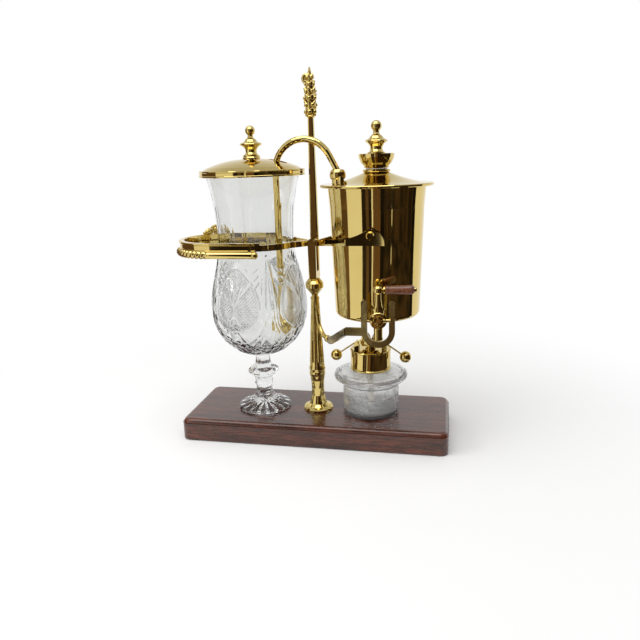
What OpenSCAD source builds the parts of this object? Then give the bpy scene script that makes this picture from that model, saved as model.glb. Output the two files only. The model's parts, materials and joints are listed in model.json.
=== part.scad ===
// Balance siphon coffee maker: a kettle and a glass goblet on either side of a column.
// X runs along the base from goblet to kettle, -Y is the tap side, Z is up.
// The origin is the middle of the underside.

/* [Base] */
// Length of the base board
base_w = 300; // [250:5:360]
// Depth of the base board
base_d = 110; // [95:1:140]
// Thickness of the base board
board_h = 24; // [18:1:32]
// Corner radius of the board seen from above
board_corner = 9; // [6:0.5:16]
// Radius of the rounded top edge
board_edge = 4; // [2:0.5:5]
// Thickness of the felt under the board
felt_h = 1; // [0.6:0.1:2]

/* [Layout] */
// Distance from the column to the kettle axis
kettle_x = 70; // [68:0.5:80]
// Distance from the column to the goblet axis
goblet_x = 65; // [64:0.5:74]
// Distance from the column to the burner axis
burner_x = 62; // [60:0.5:72]
// Height of the beam pivot above the board
pivot_h = 194; // [185:1:200]
// How far the kettle pivots lie above the beam pivot
pivot_rise = 14; // [10:0.5:16]

/* [Column] */
// Radius of the foot of the column
foot_r = 17; // [14:0.5:22]
// Radius of the fluted shaft at its foot
shaft_r = 8.6; // [7:0.1:10]
// Radius of the fluted shaft at its neck
neck_r = 4.6; // [4:0.1:5.5]
// Number of flutes
flutes = 12; // [8:1:16]
// Radius across the corners of the eight-sided knop
knop_r = 10; // [8:0.1:12]
// Half width of the fork cheeks
cheek_x = 4.4; // [3.8:0.1:5.5]
// Thickness of the front cheek
cheek_t = 4; // [3:0.1:5]
// Thickness of the mast behind the hub
mast_t = 6.6; // [5:0.1:8]
// Half width of the mast at its top
mast_top_x = 3.1; // [2.5:0.1:4]
// Height of the mast and its finial above the beam pivot
mast_h = 181; // [165:1:195]
// Height of the cast finial
finial_h = 50; // [40:1:60]
// Radius of the bolt that holds the column
bolt_r = 3; // [2.5:0.1:4]

/* [Beam] */
// Height of the beam's bars
bar_h = 6.3; // [5:0.1:8]
// Thickness of the beam's bars
bar_t = 3; // [2.4:0.1:4]
// Width of the hub between the cheeks
hub_w = 10; // [8:0.5:12]
// Radius of the beam's pivot pin
pin_r = 2.2; // [1.8:0.1:2.8]
// Gap between the goblet and the ring
ring_gap = 3.4; // [3:0.1:6]
// Radial width of the counterweight's wall
weight_wall = 5; // [4:0.1:7]
// Height of the counterweight's wall
weight_wall_h = 8.5; // [7:0.1:12]
// Extra width of the counterweight's lower moulding
weight_lip = 4; // [3:0.1:6]
// Height of the counterweight's lower moulding
weight_lip_h = 8; // [6:0.1:11]
// Length of the counterweight's straight sides
weight_side = 36; // [30:1:44]
// How far the counterweight's sides run on past the ring's ends
weight_tail = 14; // [8:1:18]

/* [Kettle] */
// Outer radius of the kettle at the bottom
kettle_r0 = 46; // [44:0.1:48]
// Outer radius of the kettle at mid height
kettle_r1 = 48.7; // [47:0.1:50]
// Outer radius of the kettle at the top
kettle_r2 = 51.5; // [50:0.1:54]
// Height of the kettle's wall
kettle_h = 137; // [130:1:145]
// Height of the kettle's pivots above its bottom
kettle_mid = 92; // [85:1:98]
// Sheet thickness of the kettle
sheet = 1.2; // [0.8:0.1:1.6]
// Radius of the kettle's rim flange
flange_r = 59.4; // [57:0.1:64]
// Height of the kettle's top above its wall
crown_h = 14.5; // [12:0.5:18]
// Bore of the filler neck
filler_r = 10; // [8:0.1:11]

/* [Siphon tube] */
// Outer radius of the siphon tube
tube_r = 3.4; // [3:0.1:4]
// Bore radius of the siphon tube
tube_bore = 2.4; // [2:0.1:2.6]
// Height of the tube's arch above the kettle's wall
arch_h = 50; // [46:1:60]
// Distance of the tube from the kettle axis
port_x = 39; // [37:0.1:39.4]
// Distance that the tube lies in front of the kettle axis
port_y = 11.5; // [11:0.1:12]
// Distance of the tube from the goblet axis
entry_x = 27.2; // [26:0.1:28]
// Distance that the tube lies in front of the goblet axis
entry_y = 4.5; // [3:0.5:6]
// Outer radius of the filter head
filter_r = 9; // [8:0.1:9.4]

/* [Goblet] */
// Outer radius of the goblet's rim
rim_r = 51.6; // [50:0.1:53]
// Outer radius of the goblet's waist
waist_r = 42.2; // [41:0.1:44]
// Outer radius of the goblet's belly
belly_r = 54.4; // [53:0.1:56]
// Thickness of the goblet's wall
glass_t = 3.4; // [2.5:0.1:4]
// Radius of the goblet's foot
goblet_foot_r = 31; // [28:0.5:36]
// Height of the goblet
goblet_h = 271; // [266:1:276]
// Radius of the goblet lid's skirt
lid_r = 57.4; // [57:0.1:60]
// Radial play of the tube in the goblet lid
lid_play = 3; // [2.4:0.1:4]
// Length of the slot for the tube in the goblet lid
lid_slot = 7; // [5:0.5:9]
// How far the slot reaches behind the tube, for the tilt of the beam
lid_back = 1.2; // [0.8:0.1:2]

/* [Tap] */
// Height of the tap above the kettle's bottom
tap_h = 13; // [12:0.5:16]
// Distance of the tap's valve from the kettle axis
tap_y = 62.5; // [61:0.5:66]
// How far the tap is turned round the kettle from the front
tap_round = 7; // [0:1:10]
// Radius of the tap's spout
spout_r = 4.3; // [3.6:0.1:4.8]
// Length of the wooden handle
handle_l = 29; // [24:0.5:36]
// Radius of the wooden handle
handle_r = 4.8; // [4:0.1:5.5]
// Gap of the cradle round the spout, each side
cradle_gap = 6.7; // [5.5:0.1:8]
// Height of the spout above the cradle's curve at rest
cradle_rest = 1.4; // [0.3:0.1:2]

/* [Burner] */
// Radius of the burner's glass body
bottle_r = 31.6; // [28:0.1:34]
// Radius of the burner's glass shoulder
shoulder_r = 41.4; // [38:0.1:42]
// Radius of the burner's brass collar
collar_r = 22.9; // [21:0.1:25]
// Height of the brass collar
collar_h = 23; // [19:0.5:26]
// Radius of the snuffer dome
dome_r = 11; // [9.5:0.1:12]
// How far each snuffer half leans open
snuffer_lean = 22; // [15:1:24]
// Radius of the snuffer's weights
ball_r = 6.5; // [5:0.1:7.5]

/* [Hidden] */
$fn = 72;
BRASS = "#c8962f";
PALE_BRASS = "#d9b458";
GLASS = [0.85, 0.92, 0.95, 0.35];
WOOD = "#5a2a1c";
DARK_WOOD = "#3d1410";

// Clearances: seat for pieces that rest on each other, run for turning fits, fit for screwed fits.
seat = 0.3;
run = 0.05;
fit = 0.1;

// Heights that several pieces share.
top_z = felt_h + board_h;
pivot_z = top_z + pivot_h;
kettle_pivot_z = pivot_z + pivot_rise;
kettle_z = kettle_pivot_z - kettle_mid;
kettle_top_z = kettle_z + kettle_h;
apex_z = kettle_top_z + arch_h;
goblet_z = top_z;
rim_z = goblet_z + goblet_h;
tap_z = kettle_z + tap_h;

// The axis of the tap's valve seen from above.
tap_at = [kettle_x + tap_y * sin(tap_round), -tap_y * cos(tap_round)];

// A flat sheet with round corners.
module round_sheet(w, d, r) {
    square([w - 2 * r, d], center = true);
    square([w, d - 2 * r], center = true);
    for (sx = [-1, 1])
        for (sy = [-1, 1])
            translate([sx * (w / 2 - r), sy * (d / 2 - r)])
                circle(r);
}

// A rod along Y, from y0 to y1.
module rod_y(r, y0, y1) {
    translate([0, y1, 0])
        rotate([90, 0, 0])
            cylinder(r = r, h = y1 - y0);
}

// A rod between two points.
module rod(a, b, r0, r1) {
    d = b - a;
    translate(a)
        rotate([0, acos(d[2] / norm(d)), atan2(d[1], d[0])])
            cylinder(r1 = r0, r2 = r1, h = norm(d));
}

// A turned solid from its outline, a list of [radius, height].
module turned(points) {
    rotate_extrude()
        polygon(concat([[0, points[0][1]]], points, [[0, points[len(points) - 1][1]]]));
}

// ---------- base ----------
board_bolt_head_h = 6;

module base_board() {
    color(DARK_WOOD)
        difference() {
            translate([0, 0, felt_h])
                union() {
                    linear_extrude(board_h - board_edge - 1)
                        round_sheet(base_w, base_d, board_corner);
                    linear_extrude(board_h)
                        round_sheet(base_w - 2 * board_edge - 2, base_d - 2 * board_edge - 2,
                            board_corner - board_edge);
                    board_rounds();
                }
            translate([0, 0, felt_h - 1])
                cylinder(r = bolt_r + 0.3, h = board_h + 2);
            translate([0, 0, felt_h - 1])
                cylinder(r = bolt_r * 3.2, h = board_bolt_head_h + 1);
        }
}

module board_rounds() {
    round_z = board_h - board_edge - 0.3;
    in_x = base_w / 2 - board_edge - 1;
    in_y = base_d / 2 - board_edge - 1;
    corner = board_corner - board_edge;
    for (sy = [-1, 1])
        translate([-(in_x - corner), sy * in_y, round_z])
            rotate([0, 90, 0])
                cylinder(r = board_edge, h = 2 * (in_x - corner));
    for (sx = [-1, 1])
        translate([sx * in_x, in_y - corner, round_z])
            rotate([90, 0, 0])
                cylinder(r = board_edge, h = 2 * (in_y - corner));
    for (sx = [-1, 1])
        for (sy = [-1, 1])
            translate([sx * (in_x - corner), sy * (in_y - corner), round_z])
                rotate_extrude()
                    translate([corner, 0])
                        intersection() {
                            circle(board_edge - 0.05);
                            translate([0, -board_edge])
                                square([board_edge, 2 * board_edge]);
                        }
}

module base_felt() {
    color("#2b2622")
        linear_extrude(felt_h)
            round_sheet(base_w - 8, base_d - 8, board_corner - 3);
}

module column_bolt() {
    color(PALE_BRASS) {
        translate([0, 0, felt_h + board_bolt_head_h - 2])
            cylinder(r = bolt_r, h = board_h - board_bolt_head_h + 2 + 18);
        translate([0, 0, felt_h + 0.8])
            cylinder(r = bolt_r * 1.9, h = board_bolt_head_h - 2.2, $fn = 6);
    }
}

module column_washer() {
    color(PALE_BRASS)
        translate([0, 0, felt_h + board_bolt_head_h - 1.3])
            difference() {
                cylinder(r = bolt_r * 2.6, h = 1.3);
                translate([0, 0, -1])
                    cylinder(r = bolt_r + fit, h = 4);
            }
}

// ---------- column ----------
shaft_z0 = top_z + 53;
shaft_z1 = pivot_z - 63;
knop_z0 = shaft_z1;
fork_z0 = pivot_z - 39;

module column_foot() {
    color(BRASS)
        translate([0, 0, top_z])
            difference() {
                turned([
                    [foot_r, 0], [foot_r, 2], [foot_r - 1, 3.4], [foot_r - 4, 4.2],
                    [foot_r - 7, 7], [shaft_r + 0.4, 11], [shaft_r - 1, 17],
                    [shaft_r - 1.4, 26], [shaft_r - 0.9, 35], [shaft_r + 0.2, 41],
                    [shaft_r + 0.8, 43.6], [shaft_r + 0.2, 46], [shaft_r + 0.4, 47],
                    [shaft_r + 1, 49.5], [shaft_r + 0.4, 52], [shaft_r, 53]
                ]);
                translate([0, 0, -1])
                    cylinder(r = bolt_r + run, h = 24);
            }
}

// The shaft's flutes follow its taper and run out before both ends.
module column_shaft() {
    lean = atan2(shaft_r - neck_r, shaft_z1 - shaft_z0);
    color(BRASS)
        difference() {
            union() {
                difference() {
                    translate([0, 0, shaft_z0])
                        cylinder(r1 = shaft_r, r2 = neck_r, h = shaft_z1 - shaft_z0);
                    for (i = [0 : flutes - 1])
                        rotate([0, 0, (i + 0.5) * 360 / flutes])
                            translate([shaft_r + 0.6, 0, shaft_z0 + 5])
                                rotate([0, -lean, 0])
                                    cylinder(r1 = 1.7, r2 = 1.0, h = shaft_z1 - shaft_z0 - 9);
                }
                branch();
            }
            // the bore for the cradle's stud
            translate(branch_ball)
                rotate([0, 0, bar_turn])
                    translate([-2, 0, 0])
                        rotate([0, 90, 0])
                            cylinder(r = stud_r + run, h = 8);
        }
}

// The branch that carries the cradle: a curved arm and a ball end.
branch_turn = -50;
branch_reach = 27;
branch_r = 2.5;
branch_bend = 22;
branch_z = shaft_z1 - 18;
branch_ball = [branch_reach * cos(branch_turn), branch_reach * sin(branch_turn), branch_z - branch_bend];
ball_end_r = 4;
ball_flat = 3.3;
stud_r = 1.2;

module branch() {
    rotate([0, 0, branch_turn])
        translate([branch_reach, 0, branch_z])
            rotate([90, 0, 0])
                rotate([0, 0, 180])
                    rotate_extrude(angle = 90)
                        translate([branch_bend, 0])
                            circle(branch_r);
    translate(branch_ball)
        difference() {
            sphere(ball_end_r);
            rotate([0, 0, bar_turn])
                translate([ball_flat, -5, -5])
                    cube(10);
        }
    rod([0, 0, branch_z + 14],
        [(branch_reach - branch_bend) * cos(branch_turn), (branch_reach - branch_bend) * sin(branch_turn), branch_z],
        branch_r, branch_r);
}

module column_knop() {
    color(BRASS)
        translate([0, 0, knop_z0])
            turned([
                [neck_r + 0.5, 0], [neck_r + 0.5, 2], [neck_r - 0.9, 3], [neck_r - 0.9, 5],
                [knop_r, 13.5], [knop_r, 18.5], [knop_r - 4, fork_z0 - knop_z0]
            ]);
}

cheek_y = hub_w / 2 + seat;
mast_y = cheek_y + mast_t;
cheek_top = 5;

module column_fork() {
    mast_z = pivot_z + mast_h - finial_h;
    color(BRASS)
        difference() {
            union() {
                // the yoke under the hub
                translate([-cheek_x, -cheek_y - cheek_t, fork_z0])
                    cube([2 * cheek_x, cheek_t + cheek_y + mast_y, 8]);
                // the front cheek, with a round top
                translate([-cheek_x, -cheek_y - cheek_t, fork_z0])
                    cube([2 * cheek_x, cheek_t, pivot_z - fork_z0]);
                translate([0, 0, pivot_z])
                    rod_y(cheek_x, -cheek_y - cheek_t, -cheek_y);
                // the mast rises from the back cheek
                translate([0, mast_y, 0])
                    rotate([90, 0, 0])
                        linear_extrude(mast_t)
                            polygon([
                                [-cheek_x, fork_z0], [cheek_x, fork_z0], [cheek_x + 0.2, pivot_z + 10],
                                [mast_top_x, mast_z], [-mast_top_x, mast_z], [-cheek_x - 0.2, pivot_z + 10]
                            ]);
            }
            translate([0, 0, pivot_z])
                rod_y(pin_r + run, -cheek_y - cheek_t - 1, mast_y + 1);
        }
}

// The finial is a cast spray: a bud on a stem with pairs of curled leaves.
module mast_finial() {
    mast_mid = cheek_y + mast_t / 2;
    mast_z = pivot_z + mast_h - finial_h;
    color(PALE_BRASS)
        translate([0, mast_mid, mast_z])
            union() {
                turned([[4.2, 0], [4.8, 1], [4.2, 2.4], [3, 3.2], [3.4, 12], [4, 24], [3.2, 36], [2.4, 41]]);
                for (i = [0 : 3])
                    for (s = [0 : 4])
                        rotate([0, 0, s * 72 + i * 36])
                            translate([3.6, 0, 6 + i * 9])
                                rotate([0, 24, 0])
                                    scale([0.5, 0.9, 1.9])
                                        sphere(2.8 - i * 0.1, $fn = 16);
                for (s = [0 : 4])
                    rotate([0, 0, s * 72])
                        translate([2.6, 0, 42])
                            sphere(2, $fn = 16);
                translate([0, 0, 43.5])
                    cylinder(r1 = 2.6, r2 = 0.5, h = finial_h - 43.5);
            }
}

module beam_pivot_pin() {
    color(PALE_BRASS)
        translate([0, 0, pivot_z])
            union() {
                rod_y(pin_r, -cheek_y - cheek_t, mast_y);
                rod_y(pin_r * 1.5, -cheek_y - cheek_t - 1.2, -cheek_y - cheek_t);
                rod_y(pin_r * 1.5, mast_y, mast_y + 1.2);
            }
}

// ---------- cradle for the tap's spout ----------
cradle_t = 4;
cradle_prong = 6;
cradle_in = spout_r + cradle_gap;
cradle_z = kettle_z - 14.3;
cradle_top = kettle_z + 26;
cradle_left = 44;

module cradle_outline() {
    out = cradle_in + cradle_prong;
    difference() {
        union() {
            circle(out);
            translate([-out, 0])
                square([2 * out, cradle_top - cradle_z - cradle_in]);
            translate([-out + cradle_prong / 2, cradle_top - cradle_z - cradle_in])
                circle(cradle_prong / 2);
            translate([out - cradle_prong / 2, cradle_top - cradle_z - cradle_in])
                circle(cradle_prong / 2);
            translate([cradle_left - tap_at[0], -5])
                square([tap_at[0] - cradle_left - cradle_in - 1, 8]);
        }
        circle(cradle_in);
        translate([-cradle_in, 0])
            square([2 * cradle_in, 60]);
    }
}

cradle_bar_z = cradle_z + cradle_in - 5;
bar_xy = [cradle_left - branch_ball[0], tap_at[1] - branch_ball[1]];
bar_turn = atan2(bar_xy[1], bar_xy[0]);
bar_len = norm(bar_xy);

module cradle_fork() {
    color("#8a6a26")
        difference() {
            union() {
                translate([tap_at[0], tap_at[1] + cradle_t / 2, cradle_z + cradle_in])
                    rotate([90, 0, 0])
                        linear_extrude(cradle_t)
                            cradle_outline();
                // the bent part that runs back to the branch
                translate([branch_ball[0], branch_ball[1], 0])
                    rotate([0, 0, bar_turn])
                        translate([0, cradle_t / 2, 0])
                            rotate([90, 0, 0])
                                linear_extrude(cradle_t)
                                    polygon([
                                        [ball_flat, branch_ball[2] - 3.6], [10, branch_ball[2] - 3.6],
                                        [bar_len + 1.5, cradle_bar_z], [bar_len + 1.5, cradle_bar_z + 8],
                                        [9, branch_ball[2] + 4], [ball_flat, branch_ball[2] + 3.6]
                                    ]);
            }
            translate(branch_ball)
                rotate([0, 0, bar_turn])
                    rotate([0, 90, 0])
                        cylinder(r = stud_r + run, h = 8.2);
        }
}

// The stud that joins the cradle's bar to the branch's ball end.
module cradle_stud() {
    color(PALE_BRASS)
        translate(branch_ball)
            rotate([0, 0, bar_turn])
                translate([-1.8, 0, 0])
                    rotate([0, 90, 0])
                        cylinder(r = stud_r, h = 9.6);
}

// ---------- beam ----------
ring_r = waist_r + ring_gap;
arm_y = kettle_r1 + 4.2;
leaf_x0 = kettle_x - 25;
leaf_z = kettle_pivot_z - 10;
leaf_boss_r = 6.4;
hub_x = 7;
ring_meet = 24;

module beam_frame() {
    color(BRASS)
        difference() {
            union() {
                // the hub
                translate([-hub_x, -hub_w / 2, pivot_z - bar_h / 2])
                    cube([2 * hub_x, hub_w, bar_h]);
                translate([0, 0, pivot_z])
                    rod_y(5.2, -hub_w / 2, hub_w / 2);
                ring_arcs();
                for (side = [-1, 1])
                    on_side(side) {
                        ring_link();
                        fork_arm();
                        leaf();
                    }
            }
            translate([0, 0, pivot_z])
                rod_y(pin_r + run, -hub_w, hub_w);
            translate([kettle_x, 0, kettle_pivot_z])
                rod_y(screw_r + run, -arm_y - 9, arm_y + 9);
        }
}

module on_side(side) {
    if (side < 0)
        mirror([0, 1, 0])
            children();
    else
        children();
}

// The ring's bars hug the goblet from the counterweight to the hub.
module ring_arcs() {
    for (side = [0, 1])
        mirror([0, side, 0])
            translate([-goblet_x, 0, pivot_z - bar_h / 2])
                rotate([0, 0, ring_meet])
                    rotate_extrude(angle = 90 - ring_meet)
                        translate([ring_r, 0])
                            square([bar_t, bar_h]);
}

module ring_link() {
    a = [-goblet_x + (ring_r + bar_t / 2) * cos(ring_meet), (ring_r + bar_t / 2) * sin(ring_meet)];
    b = [-hub_x + 1, hub_w / 2 - bar_t / 2];
    flat_bar(a, b, pivot_z, pivot_z);
}

// A bar on edge between two plan points, whose mid height goes from z0 to z1.
module flat_bar(a, b, z0, z1) {
    d = b - a;
    translate([a[0], a[1], 0])
        rotate([0, 0, atan2(d[1], d[0])])
            translate([0, bar_t / 2, 0])
                rotate([90, 0, 0])
                    linear_extrude(bar_t)
                        polygon([
                            [0, z0 - bar_h / 2], [norm(d), z1 - bar_h / 2],
                            [norm(d), z1 + bar_h / 2], [0, z0 + bar_h / 2]
                        ]);
    for (end = [[a[0], a[1], z0], [b[0], b[1], z1]])
        translate([end[0], end[1], end[2] - bar_h / 2 + 0.15])
            cylinder(r = bar_t / 2 - 0.05, h = bar_h - 0.3);
}

module fork_arm() {
    flat_bar([hub_x - 1, hub_w / 2 - bar_t / 2], [leaf_x0, arm_y + bar_t / 2], pivot_z, leaf_z + bar_h / 2);
}

// The leaf-shaped plate at the end of each arm, with the pivot boss.
module leaf() {
    high = kettle_pivot_z + 3.5 - leaf_z;
    translate([0, arm_y + bar_t, leaf_z])
        rotate([90, 0, 0])
            linear_extrude(bar_t)
                union() {
                    polygon([
                        [leaf_x0, 0], [kettle_x + 5.5, 0], [kettle_x + 5.5, high],
                        [kettle_x - 7, high], [kettle_x - 13, high - 3], [leaf_x0, bar_h]
                    ]);
                    translate([kettle_x + 5.5, 0])
                        intersection() {
                            scale([8, high])
                                circle(1);
                            square([12, 20]);
                        }
                }
    translate([kettle_x, 0, kettle_pivot_z])
        rod_y(leaf_boss_r, arm_y, arm_y + bar_t + 1.2);
}

weight_x = goblet_x + weight_side;
weight_z0 = pivot_z + 6 - weight_wall_h - weight_lip_h;
tail_in = bar_t + 0.1;

module weight_section() {
    lip_r = weight_lip_h / 2;
    translate([0, weight_lip_h - 1])
        square([weight_wall, weight_wall_h + 1]);
    square([weight_wall, weight_lip_h]);
    translate([weight_wall + weight_lip - lip_r, lip_r])
        circle(lip_r);
    translate([weight_wall - 2, 0.6])
        square([weight_lip - lip_r + 2, weight_lip_h - 1.2]);
    translate([weight_wall - 0.5, weight_lip_h + weight_wall_h - 2.4])
        square([1.7, 2.4]);
}

module counterweight() {
    color(BRASS)
        union() {
            translate([-weight_x, 0, weight_z0])
                rotate([0, 0, 90])
                    rotate_extrude(angle = 180)
                        translate([ring_r, 0])
                            weight_section();
            for (side = [0, 1])
                mirror([0, side, 0])
                    translate([-weight_x, ring_r, weight_z0])
                        rotate([90, 0, 90])
                            linear_extrude(weight_side)
                                weight_section();
            // thinner tails lie outside the ring, the wall's a little longer than the lip's
            for (side = [0, 1])
                mirror([0, side, 0])
                    translate([-goblet_x - 1, ring_r, weight_z0])
                        rotate([90, 0, 90]) {
                            linear_extrude(weight_tail + 1)
                                difference() {
                                    weight_section();
                                    translate([-1, -1])
                                        square([1 + tail_in, 60]);
                                }
                            linear_extrude(weight_tail + 6)
                                translate([tail_in + 0.05, weight_lip_h])
                                    square([weight_wall - tail_in - 0.1, weight_wall_h - 0.1]);
                        }
        }
}

// A rosette with two buds on each side, standing on the counterweight's wall.
module counterweight_ornament() {
    turn = 124;
    color(PALE_BRASS)
        union() {
            on_weight(turn)
                turned([[3, 0], [5.2, 1.4], [5.6, 3], [4.6, 4.6], [2.6, 5.4], [2.9, 6.8], [1.6, 8.2]]);
            for (side = [-1, 1]) {
                on_weight(turn + side * 9.8)
                    turned([[2.4, 0], [3.5, 1.2], [3.6, 2.8], [2, 4.6]]);
                on_weight(turn + side * 16.4)
                    turned([[1.8, 0], [2.7, 1], [2.8, 2.2], [1.4, 3.6]]);
            }
        }
}

// A place on top of the counterweight's wall, at an angle round its end.
module on_weight(angle) {
    reach = ring_r + weight_wall / 2;
    translate([-weight_x + reach * cos(angle), reach * sin(angle), weight_z0 + weight_lip_h + weight_wall_h])
        children();
}

module weight_rivets() {
    color(PALE_BRASS)
        for (side = [-1, 1])
            on_side(side)
                translate([-goblet_x + 8, ring_r + weight_wall, pivot_z])
                    rotate([-90, 0, 0])
                        cylinder(r = 2, h = 1.2);
}

// ---------- kettle ----------
screw_r = 2;
kettle_corner = 5;
lug_r = 5;

module kettle_wall(d) {
    // the wall's outline moved in by d, from the bottom's middle to the rim
    corner = kettle_corner - d;
    polygon(concat(
        [[0, d]],
        [for (a = [-90 : 15 : 0]) [kettle_r0 - d - corner + corner * cos(a), d + corner + corner * sin(a)]],
        [[kettle_r1 - d, kettle_mid - 9],
            [kettle_r1 - d + (kettle_r2 - kettle_r1) * 0.4, kettle_mid + (kettle_h - kettle_mid) * 0.55],
            [kettle_r2 - d, kettle_h + (d > 0 ? 1 : 0)], [0, kettle_h + (d > 0 ? 1 : 0)]]
    ));
}

module kettle_body() {
    color(BRASS)
        translate([kettle_x, 0, 0])
            difference() {
                union() {
                    translate([0, 0, kettle_z])
                        rotate_extrude()
                            kettle_wall(0);
                    translate([0, 0, kettle_pivot_z])
                        rod_y(lug_r, -arm_y + seat, arm_y - seat);
                    translate([0, 0, tap_z])
                        rotate([0, 0, tap_round])
                            rod_y(7, -kettle_r0 - 1.4, -kettle_r0 + 3);
                }
                translate([0, 0, kettle_z])
                    rotate_extrude()
                        kettle_wall(sheet);
                for (side = [-1, 1])
                    on_side(side)
                        translate([0, 0, kettle_pivot_z])
                            rod_y(screw_r + run, kettle_r1 + 0.2, arm_y + 1);
                translate([0, 0, tap_z])
                    rotate([0, 0, tap_round])
                        rod_y(tap_thread_r + run, -kettle_r0 - 5, -kettle_r0 + 5);
            }
}

function crown(r) =
    3 + (crown_h - 3) * pow(max(0, (flange_r - 2.4 - r) / (flange_r - filler_r - 4.8)), 1.6);

// Points along an arc round (x, z), from angle a0 to a1.
function arc(x, z, r, a0, a1, n) =
    [for (i = [0 : n]) let (a = a0 + (a1 - a0) * i / n) [x + r * cos(a), z + r * sin(a)]];

// The kettle's top: a domed sheet, a rolled flange, and a lip that drops into the wall.
module kettle_top() {
    steps = 9;
    inner = filler_r + 2.4;
    rim = flange_r - 2.4;
    lip = kettle_r2 - sheet - 0.5;
    dome = [for (i = [0 : steps]) let (r = i == 0 ? inner : inner + 2 + (rim - inner - 2) * i / steps) r];
    color(BRASS)
        translate([kettle_x, 0, kettle_top_z])
            difference() {
                rotate_extrude()
                    polygon(concat(
                        [for (r = dome) [r, crown(r)]],
                        arc(flange_r - 1.6, 1.6, 1.6, 90, -90, 6),
                        [[lip, 0], [lip, -3], [lip - 1.4, -3]],
                        [for (i = [steps - 2 : -1 : 0]) [dome[i], crown(dome[i]) - sheet]]
                    ));
                translate([-port_x, -port_y, -10])
                    cylinder(r = port_r + fit, h = 30);
                translate([steam_at[0], steam_at[1], -10])
                    cylinder(r = 2.6 + fit, h = 30);
            }
}

module kettle_pivot_screws() {
    color(PALE_BRASS)
        for (side = [-1, 1])
            on_side(side)
                translate([kettle_x, 0, kettle_pivot_z]) {
                    rod_y(screw_r, kettle_r1 + 0.4, arm_y + bar_t + 1.8);
                    difference() {
                        translate([0, arm_y + bar_t + 1.6, 0])
                            rotate([-90, 0, 0])
                                cylinder(r1 = 4.4, r2 = 3.2, h = 2.2);
                        translate([-5, arm_y + bar_t + 3, -0.5])
                            cube([10, 3, 1]);
                    }
                }
}

neck_z = kettle_top_z + crown_h;
neck_h = 3.2;
gasket_h = 0.8;

module filler_neck() {
    color(BRASS)
        translate([kettle_x, 0, neck_z])
            difference() {
                turned([
                    [filler_r + 2.2, -6], [filler_r + 2.2, 0.1], [filler_r + 3.6, 0.1], [filler_r + 4.6, 0.9],
                    [filler_r + 4.6, 1.9], [filler_r + 3.4, neck_h - 0.2], [filler_r + 1.4, neck_h]
                ]);
                translate([0, 0, -7])
                    cylinder(r = filler_r, h = 20);
            }
}

module filler_gasket() {
    color("#e8e2d4")
        translate([kettle_x, 0, neck_z + neck_h])
            difference() {
                cylinder(r = filler_r + 1.2, h = gasket_h);
                translate([0, 0, -1])
                    cylinder(r = filler_r - 0.6, h = 4);
            }
}

// The cap is a turned cup with a finial standing in it.
module filler_cap() {
    cup_h = 14.4;
    color(BRASS)
        translate([kettle_x, 0, neck_z + neck_h + gasket_h + seat])
            union() {
                difference() {
                    turned([
                        [12.6, 0], [13.4, 0.8], [12.6, 1.8], [14, 3], [15.9, 5], [17.3, 7.6], [18.3, 10.6],
                        [18.7, cup_h - 1], [18.6, cup_h - 0.3], [17.4, cup_h]
                    ]);
                    translate([0, 0, 10.4])
                        difference() {
                            cylinder(r1 = 15.4, r2 = 17.4, h = 5);
                            translate([0, 0, -1])
                                cylinder(r = 9.4, h = 8);
                        }
                }
                translate([0, 0, -5])
                    cylinder(r = filler_r - 1.6, h = 5.5);
                finial(cup_h, 9.4, 31, 11.8, 5.6);
            }
}

// A turned finial: ring, waisted body, disc, neck and ball. z0 is its foot, z1 its disc.
module finial(z0, ring, rise, disc, ball) {
    translate([0, 0, z0 - 1])
        turned([
            [ring - 1, 0], [ring, 0.8], [ring, 2], [ring - 2, 3], [ring - 3, 5], [ring - 2.8, 8],
            [ring - 1, 10.6], [disc - 0.6, 12.6], [disc, 13.6], [disc - 0.8, 14.4], [ring - 1.6, 16],
            [ring - 3.4, 18.4], [ring - 5.6, 20], [ball - 2.4, 21.6], [ball - 2.6, rise - ball]
        ]);
    translate([0, 0, z0 - 1 + rise - ball * 0.5])
        sphere(ball);
}

// ---------- siphon ----------
port_r = 6.4;
port_z = kettle_top_z + 2.2;
port = [kettle_x - port_x, -port_y];
entry = [-goblet_x + entry_x, -entry_y];
arch_run = norm(port - entry);
arch_turn = atan2(port[1] - entry[1], port[0] - entry[0]);
bend1 = 32;
bend2 = 32;
bend3 = 8;
slope = 62;
straight = (arch_run - bend1 - bend2 * sin(slope) - bend3 * (1 - sin(slope))) / cos(slope);
leg_z = apex_z - bend2 * (1 - cos(slope)) - straight * sin(slope) - bend3 * cos(slope);
filter_z = goblet_z + 96;
tube_end_z = kettle_z + 6;
tube_foot_z = filter_z + 9;

// The tube's centre line in the arch's own plane: [distance, height, direction of the bend's radius].
function bend_line(x, z, r, a0, a1, n) =
    [for (i = [0 : n]) let (a = mix(a0, a1, i / n)) [x + r * cos(a), z + r * sin(a), a]];
tube_line = concat(
    [[0, tube_foot_z, 180]],
    bend_line(bend1, apex_z - bend1, bend1, 180, 90, 9),
    bend_line(bend1, apex_z - bend2, bend2, 84, 90 - slope, 6),
    bend_line(arch_run - bend3, leg_z, bend3, 90 - slope, 0, 4),
    [[arch_run, tube_end_z, 0]]
);
tube_sides = 20;

// A ring of points round the centre line.
function tube_loop(p, r) =
    [for (k = [0 : tube_sides - 1]) let (t = k * 360 / tube_sides, c = r * cos(t))
        [p[0] + c * cos(p[2]), r * sin(t), p[1] + c * sin(p[2])]];

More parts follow.
